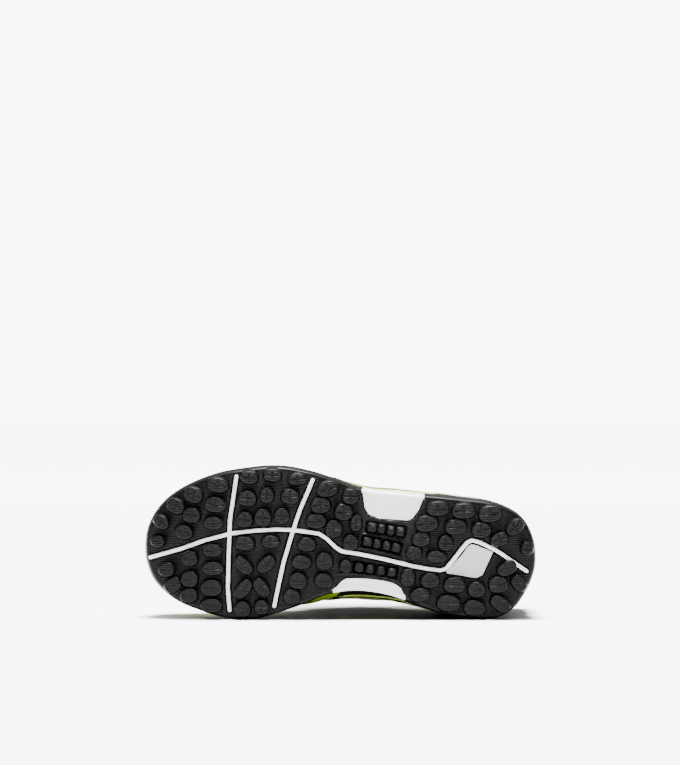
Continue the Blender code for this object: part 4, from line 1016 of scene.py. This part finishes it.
straight = topOut[:, None] + (topIn - topOut)[:, None] * (bend / math.pi)[None, :, None]
roll = np.where(isRidge[:, None, None], straight, roll)
roll[isRidge, :, 1] = 0.0
shell = np.concatenate([outerSkin, roll, innerSkin], 1)
rowCount, columnCount = shell.shape[:2]
i, j = np.meshgrid(np.arange(rowCount), np.arange(columnCount), indexing="ij")
nextI, nextJ = (i + 1) % rowCount, (j + 1) % columnCount
quads = np.stack([i * columnCount + j, i * columnCount + nextJ, nextI * columnCount + nextJ,
                  nextI * columnCount + j], -1)
topOuter = outerSkin.shape[1] - 1
inRoll = (j >= topOuter) & (j < topOuter + upper["rollRows"] + 1)
membrane = inRoll & isRidge[i] & isRidge[nextI]
quads = quads[~membrane]


def overShell(outer, rollValue, innerValue):
    # A value for each point of the shell: the outer skin's own, then one for the roll and one inside
    return np.concatenate([outer, np.full((rowCount, roll.shape[1]), rollValue),
                           np.full((rowCount, innerSkin.shape[1]), innerValue)], 1)


attributes = {
    "quarterPanel": overShell(blackEdge, 0.01, 0.01), "aboveCup": overShell(aboveCup, -0.05, -0.05),
    "lining": overShell(-belowTop - 0.0005, 0.01, 0.01),
    "lineReach": overShell(lineReach, 0.0, 0.0),
    "rearFade": overShell(1 - ease(xShare, 0.10, 0.42), 1.0, 1.0),
}
upperShell = addPiece("upperShell", shell.reshape(-1, 3), quads, skin, attributes)
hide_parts("upper")

# The sections meet in one point over the toes: the skin there is relaxed
tip = toWorld(topPoint(1.0, 1.0))[0]
spots = np.empty(len(upperShell.data.vertices) * 3)
upperShell.data.vertices.foreach_get("co", spots)
near = 1 - ease(np.linalg.norm(spots.reshape(-1, 3) - tip, axis=1), 0.012, 0.030)
group = upperShell.vertex_groups.new(name="overToes")
near = np.round(near, 3)
for weight in np.unique(near[near > 0]):
    group.add(np.nonzero(near == weight)[0].tolist(), float(weight), "REPLACE")
relax = upperShell.modifiers.new("relax", "SMOOTH")
relax.factor, relax.iterations, relax.vertex_group = 0.5, 40, "overToes"
print("upper", len(quads))

# stitches: short rounded bars along the edges of the panels, sunk a little into the skin

stitch = {"pitch": 0.0026, "length": 0.0019, "radius": 0.00022, "proud": 0.00004, "inset": 0.0016,
          "second": 0.0034, "around": 7,
          "bar": [(-1.0, 0.15), (-0.92, 0.75), (-0.6, 1.0), (0.6, 1.0), (0.92, 0.75), (1.0, 0.15)]}


def crossings(values, level, alongStations, side):
    # Where a value crosses a level on the outer skin, between neighbours of the grid: one place for each
    # row of heights, or for each station, with the outward direction there
    mine = wrapSide == side
    order = np.argsort(wrapShare[mine])
    field = (values[mine][order] - level)
    spots, outs = outerSkin[mine][order], normals[mine][order]
    if not alongStations:
        field, spots, outs = field.T, spots.transpose(1, 0, 2), outs.transpose(1, 0, 2)
    cross = (field[:-1] > 0) & (field[1:] <= 0)
    found = cross.any(axis=0)
    first = cross.argmax(axis=0)[found]
    column = np.nonzero(found)[0]
    before, after = field[first, column], field[first + 1, column]
    t = (before / (before - after))[:, None]
    place = spots[first, column] * (1 - t) + spots[first + 1, column] * t
    out = outs[first, column] * (1 - t) + outs[first + 1, column] * t
    return place, unit(out)


def stitchRow(place, out):
    # Bars at an even pitch along a line on the skin, each a short tube with round ends
    run = runAlong(place)
    at = np.arange(stitch["pitch"], run[-1] - stitch["pitch"], stitch["pitch"])
    middle, lift = readAlong(at, run, place), readAlong(at, run, out)
    ahead = unit(readAlong(at + 0.0005, run, place) - middle)
    across = np.cross(lift, ahead)
    lengthwise, girth = np.array(stitch["bar"]).T[:, None, :, None, None]
    turn = np.linspace(0, 2 * math.pi, stitch["around"], endpoint=False)[None, None, :, None]
    middle, ahead, lift, across = (v[:, None, None, :] for v in (middle, ahead, lift, across))
    return (middle + lift * stitch["proud"] + ahead * lengthwise * stitch["length"] / 2
            + (lift * np.cos(turn) + across * np.sin(turn)) * girth * stitch["radius"])


def addStitches(name, lines, thread):
    points, faces, first = [], [], 0
    for place, out in lines:
        if len(place) < 4:
            continue
        bars = stitchRow(place, out)
        rows, around = bars.shape[1:3]
        quads = gridFaces(rows, around, True)
        caps = [list(range(around))[::-1], list(range((rows - 1) * around, rows * around))]
        for k in range(len(bars)):
            faces += (quads + first).tolist() + [[index + first for index in cap] for cap in caps]
            first += rows * around
        points.append(bars.reshape(-1, 3))
    return addPiece(name, np.concatenate(points), faces, thread)


lines, tips = [], []
tipFrom = panel["tipFrom"] * shoe["length"]
for side in (1, -1):
    for inset in (stitch["inset"], stitch["second"]):
        place, out = crossings(quarterEdge, inset, True, side)
        mine = awayFrom(place, throatLine) > panel["stayWidth"] + 0.0008
        lines.append((place[mine], out[mine]))
    lines.append(crossings(-counterEdge, -stitch["inset"], False, side))
    # The eyestay's edge: section by section beside the throat, height by height round its front
    place, out = crossings(-stayEdge, -stitch["inset"], False, side)
    mine = place[:, 0] < tipFrom
    lines.append((place[mine], out[mine]))
    place, out = crossings(stayEdge, stitch["inset"], True, side)
    mine = place[:, 0] >= tipFrom
    tips.append((place[mine][::side], out[mine][::side]))
lines.append(tuple(np.concatenate(parts) for parts in zip(*tips)))
addStitches("panelStitches", lines, threadBlack)
print("stitches")

# tongue: a padded closed form under the throat

tongue = {"thick": 0.0034, "width": 0.034, "clear": 0.0008, "first": 0.300, "final": 0.655, "rows": 60,
          "columns": 40}
share = np.linspace(tongue["first"], tongue["final"], tongue["rows"])
angle = np.linspace(0, 2 * math.pi, tongue["columns"], endpoint=False)
endRound = np.sqrt(np.clip(1 - (1 - np.minimum(1, (share - tongue["first"]) / 0.045)) ** 2, 0, 1))
halfTongue = tongue["width"] / 2 * (0.84 + 0.16 * ease(share, 0.40, 0.46)) * (0.12 + 0.88 * endRound)
across = np.sign(np.cos(angle)) * np.abs(np.cos(angle)) ** 0.6
lift = np.sign(np.sin(angle)) * np.abs(np.sin(angle)) ** 0.8
endPinch = np.minimum(1, np.minimum(share - tongue["first"], tongue["final"] - share) / 0.012 + 0.05) ** 0.5
x = share[:, None] * shoe["length"] + 0 * angle
y = halfTongue[:, None] * across
middleDepth = upper["wall"] + tongue["clear"] + tongue["thick"] / 2
quilt = 1 - 0.22 * np.exp(-((np.abs(y) - 0.0075) / 0.0012) ** 2)
lying = instepNormal(x, y)
depth = middleDepth - lift * tongue["thick"] / 2 * endPinch[:, None] * quilt
points = np.stack([x, y, instepArch(x, y)], -1) - lying * depth[..., None]
faces = gridFaces(tongue["rows"], tongue["columns"], True).tolist()
ring = np.arange(tongue["columns"])
total = tongue["rows"] * tongue["columns"]
for start, pole in ((0, total), (total - tongue["columns"], total + 1)):
    faces += np.stack([start + ring, start + np.roll(ring, -1), np.full_like(ring, pole)], -1).tolist()
poles = [points[0].mean(0), points[-1].mean(0)]
tonguePad = addPiece("tonguePad", np.concatenate([points.reshape(-1, 3), poles]), faces, meshCloth)
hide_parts("tongue")
print("tongue")

# eyelets and the lace run through them


def upperFrame(share, side, height):
    # A point of the outer face with its outward direction
    step = 0.004
    here = upperPoint(share, side, height)
    along = upperPoint(share + step, side, height) - upperPoint(share - step, side, height)
    up = here - upperPoint(share, side, height - step)
    return here, unit(np.cross(along, up) * -side)


def eyeletHeight(share, side):
    # Where the section has come within the eyelets' inset of the throat edge
    top = upperPoint(share, side, 1.0)
    height = 1.0
    while np.linalg.norm(upperPoint(share, side, height) - top) < upper["eyeletInset"]:
        height -= 0.002
    return height


eyelets = {(row, side): upperFrame(share, side, eyeletHeight(share, side))
           for row, share in enumerate(upper["eyeletRows"]) for side in (1, -1)}


def squareTo(normal):
    # Two directions square to a normal
    first = unit(np.cross(normal, [0.0, 1.0, 0.0]))
    return first, np.cross(normal, first)


# Rings of an eyelet's rim: out from the hole's edge, and up from the skin
eyeletLook = {"around": 28, "rim": [(-0.0002, -0.0016), (-0.0002, 0.0007), (0.0001, 0.00105),
                                    (0.0006, 0.00115), (0.0011, 0.0010), (0.0013, 0.0004),
                                    (0.0013, -0.0004), (0.0004, -0.0016)]}
around = eyeletLook["around"]
t = np.linspace(0, 2 * math.pi, around, endpoint=False)[:, None]
pairs = np.stack([np.arange(around), np.roll(np.arange(around), -1)], -1)
points, faces, first = [], [], 0
for here, normal in eyelets.values():
    a, b = squareTo(normal)
    points += [here + (np.cos(t) * a + np.sin(t) * b) * (upper["eyeletRadius"] + out) + normal * lift
               for out, lift in eyeletLook["rim"]]
    final = first + (len(eyeletLook["rim"]) - 1) * around
    faces.append(gridFaces(len(eyeletLook["rim"]), around, True, first))
    faces.append(np.concatenate([pairs + first, pairs[:, ::-1] + final], 1)[:, [1, 0, 3, 2]])
    first = final + around
addPiece("eyeletRings", np.concatenate(points), np.concatenate(faces), threadBlack)

lace = {"width": 0.0056, "holeWidth": 0.0024, "thick": 0.0013, "clear": 0.0027, "rise": 0.0020,
        "over": 0.0012, "around": 20}


def laceBand(startKey, endKey, lift):
    # Line from one eyelet over the tongue to another and down through it; a flat oval carried along it
    (start, startOut), (end, endOut) = eyelets[startKey], eyelets[endKey]
    t = np.linspace(0, 1, 41)[:, None]
    straight = start * (1 - t) + end * t
    middle = (start + end) / 2
    height = crown(middle[0]) + lace["rise"] + lace["thick"] / 2 - middle[2]
    bow = (1 - (2 * t - 1) ** 4) * height
    line = straight + np.array([0, 0, 1.0]) * bow + lace["clear"] * (startOut * (1 - t) + endOut * t)
    line += np.array([0, 0, 1.0]) * lift * np.exp(-((t - 0.5) / 0.16) ** 2)
    intoStart = [start + startOut * d for d in (-0.0018, -0.0002, 0.0013)]
    intoEnd = [end + endOut * d for d in (0.0013, -0.0002, -0.0018)]
    line = np.concatenate([intoStart, line[3:-3], intoEnd])
    for _ in range(3):
        line[1:-1] = (line[:-2] + 2 * line[1:-1] + line[2:]) / 4
    along = unit(np.gradient(line, axis=0))
    blendOut = np.linspace(0, 1, len(line))[:, None]
    outwards = startOut * (1 - blendOut) + endOut * blendOut
    inHole = np.minimum(np.arange(len(line)), np.arange(len(line))[::-1])
    forward = unit(np.cross(end - start, [0, 0, 1.0]))
    side = unit(forward - along * np.sum(forward * along, 1, keepdims=True))
    up = np.cross(side, along)
    up *= np.sign(np.sum(up * outwards, 1, keepdims=True) + 1e-9)
    width = lace["holeWidth"] + (lace["width"] - lace["holeWidth"]) * ease(inHole, 1.5, 7)
    thick = lace["thick"] * (1.5 - 0.5 * ease(inHole, 1.5, 7))
    a = np.linspace(0, 2 * math.pi, lace["around"], endpoint=False)
    wide = np.sign(np.cos(a)) * np.abs(np.cos(a)) ** 0.6 / 2
    tall = np.sign(np.sin(a)) * np.abs(np.sin(a)) ** 0.8 / 2
    return (line[:, None] + side[:, None] * (width[:, None] * wide)[..., None]
            + up[:, None] * (thick[:, None] * tall)[..., None])


bands = [laceBand((0, 1), (0, -1), 0.0)]
for row in range(len(upper["eyeletRows"]) - 1):
    bands.append(laceBand((row, 1), (row + 1, -1), 0.0))
    bands.append(laceBand((row, -1), (row + 1, 1), lace["over"]))
points, faces, first = [], [], 0
for band in bands:
    sections, around = band.shape[:2]
    faces += gridFaces(sections, around, True, first).tolist()
    faces += [list(range(first + around - 1, first - 1, -1)),
              list(range(first + (sections - 1) * around, first + sections * around))]
    points.append(band.reshape(-1, 3))
    first += sections * around
laceRun = addPiece("laceRun", np.concatenate(points), faces, laceCloth)
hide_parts("lace")
print("lace")

# stage: flat white paper floor, a lamp above and a small one in front, the photograph's camera

stage = {"front": -6.0, "back": 12.0, "half": 12.0}
corners = [(x, y, 0.0) for y in (stage["front"], stage["back"]) for x in (-stage["half"], stage["half"])]
floorMesh = bpy.data.meshes.new("floor")
floorMesh.from_pydata(corners, [], gridFaces(2, 2).tolist())
floorMesh.materials.append(paper)
floor = bpy.data.objects.new("floor", floorMesh)
bpy.context.scene.collection.objects.link(floor)

# White room, bright above and behind and flagged darker on the photographer's side, so that the black
# rubber that faces them stays black. The room itself is seen bright all round.
room = {"seen": 8.6, "bright": 0.7, "dim": 0.22, "flagFrom": 0.0, "flagTo": 0.6}
world = bpy.data.worlds.new("whiteRoom")
bpy.context.scene.world = world
world.use_nodes = True
tree = world.node_tree
direction = addNode(tree, "TexCoord")
towards = addNode(tree, "VectorMath", {"operation": "DOT_PRODUCT"}, {1: (0.0, -1.0, 0.0)},
                  {0: direction.outputs["Generated"]})
flagged = addNode(tree, "MapRange", {"interpolation_type": "SMOOTHSTEP"},
                  {"From Min": room["flagFrom"], "From Max": room["flagTo"], "To Min": room["bright"],
                   "To Max": room["dim"]}, {"Value": towards.outputs["Value"]})
ray = addNode(tree, "LightPath")
strength = addNode(tree, "Mix", {"data_type": "FLOAT"}, {"B": room["seen"]},
                   {"Factor": ray.outputs["Is Camera Ray"], "A": flagged.outputs["Result"]})
background = tree.nodes["Background"]
background.inputs["Color"].default_value = (0.985, 0.985, 1.0, 1.0)
tree.links.new(strength.outputs["Result"], background.inputs["Strength"])


def facing(spot, target):
    # Placed at a spot and turned so that its -Z looks at the target
    turn = Vector(np.subtract(target, spot)).to_track_quat("-Z", "Y")
    return Matrix.Translation(spot) @ turn.to_matrix().to_4x4()


lamps = [("overhead", (0.0, 0.0, 2.0), (0.0, 0.0, 0.0), 0.6, 345.0),
         ("frontTop", (-0.25, -1.30, 1.55), (0.0, 0.0, 0.03), 0.5, 18.0)]
for name, spot, target, size, watts in lamps:
    light = bpy.data.lights.new(name, "AREA")
    light.shape, light.size, light.energy = "SQUARE", size, watts
    lamp = bpy.data.objects.new(name, light)
    bpy.context.scene.collection.objects.link(lamp)
    lamp.matrix_world = facing(spot, target)

# The eye looks down on the tread by the elevation. The aim lies above the shoe, square to that line.
view = {"distance": 1.25, "elevation": 3.5, "frameHeight": 0.4248, "aimUp": 0.0898, "treadY": -0.045,
        "shoeUp": 0.042}
camera = bpy.data.cameras.new("camera")
cameraObject = bpy.data.objects.new("camera", camera)
bpy.context.scene.collection.objects.link(cameraObject)
bpy.context.scene.camera = cameraObject
elevation = math.radians(view["elevation"])
eye = (0.0, view["treadY"] - view["distance"] * math.cos(elevation),
       view["shoeUp"] + view["distance"] * math.sin(elevation))
aim = (0.0, view["treadY"] + view["aimUp"] * math.sin(elevation),
       view["shoeUp"] + view["aimUp"] * math.cos(elevation))
cameraObject.matrix_world = facing(eye, aim)
camera.sensor_width = 36.0
camera.lens = 36.0 * view["distance"] / view["frameHeight"]
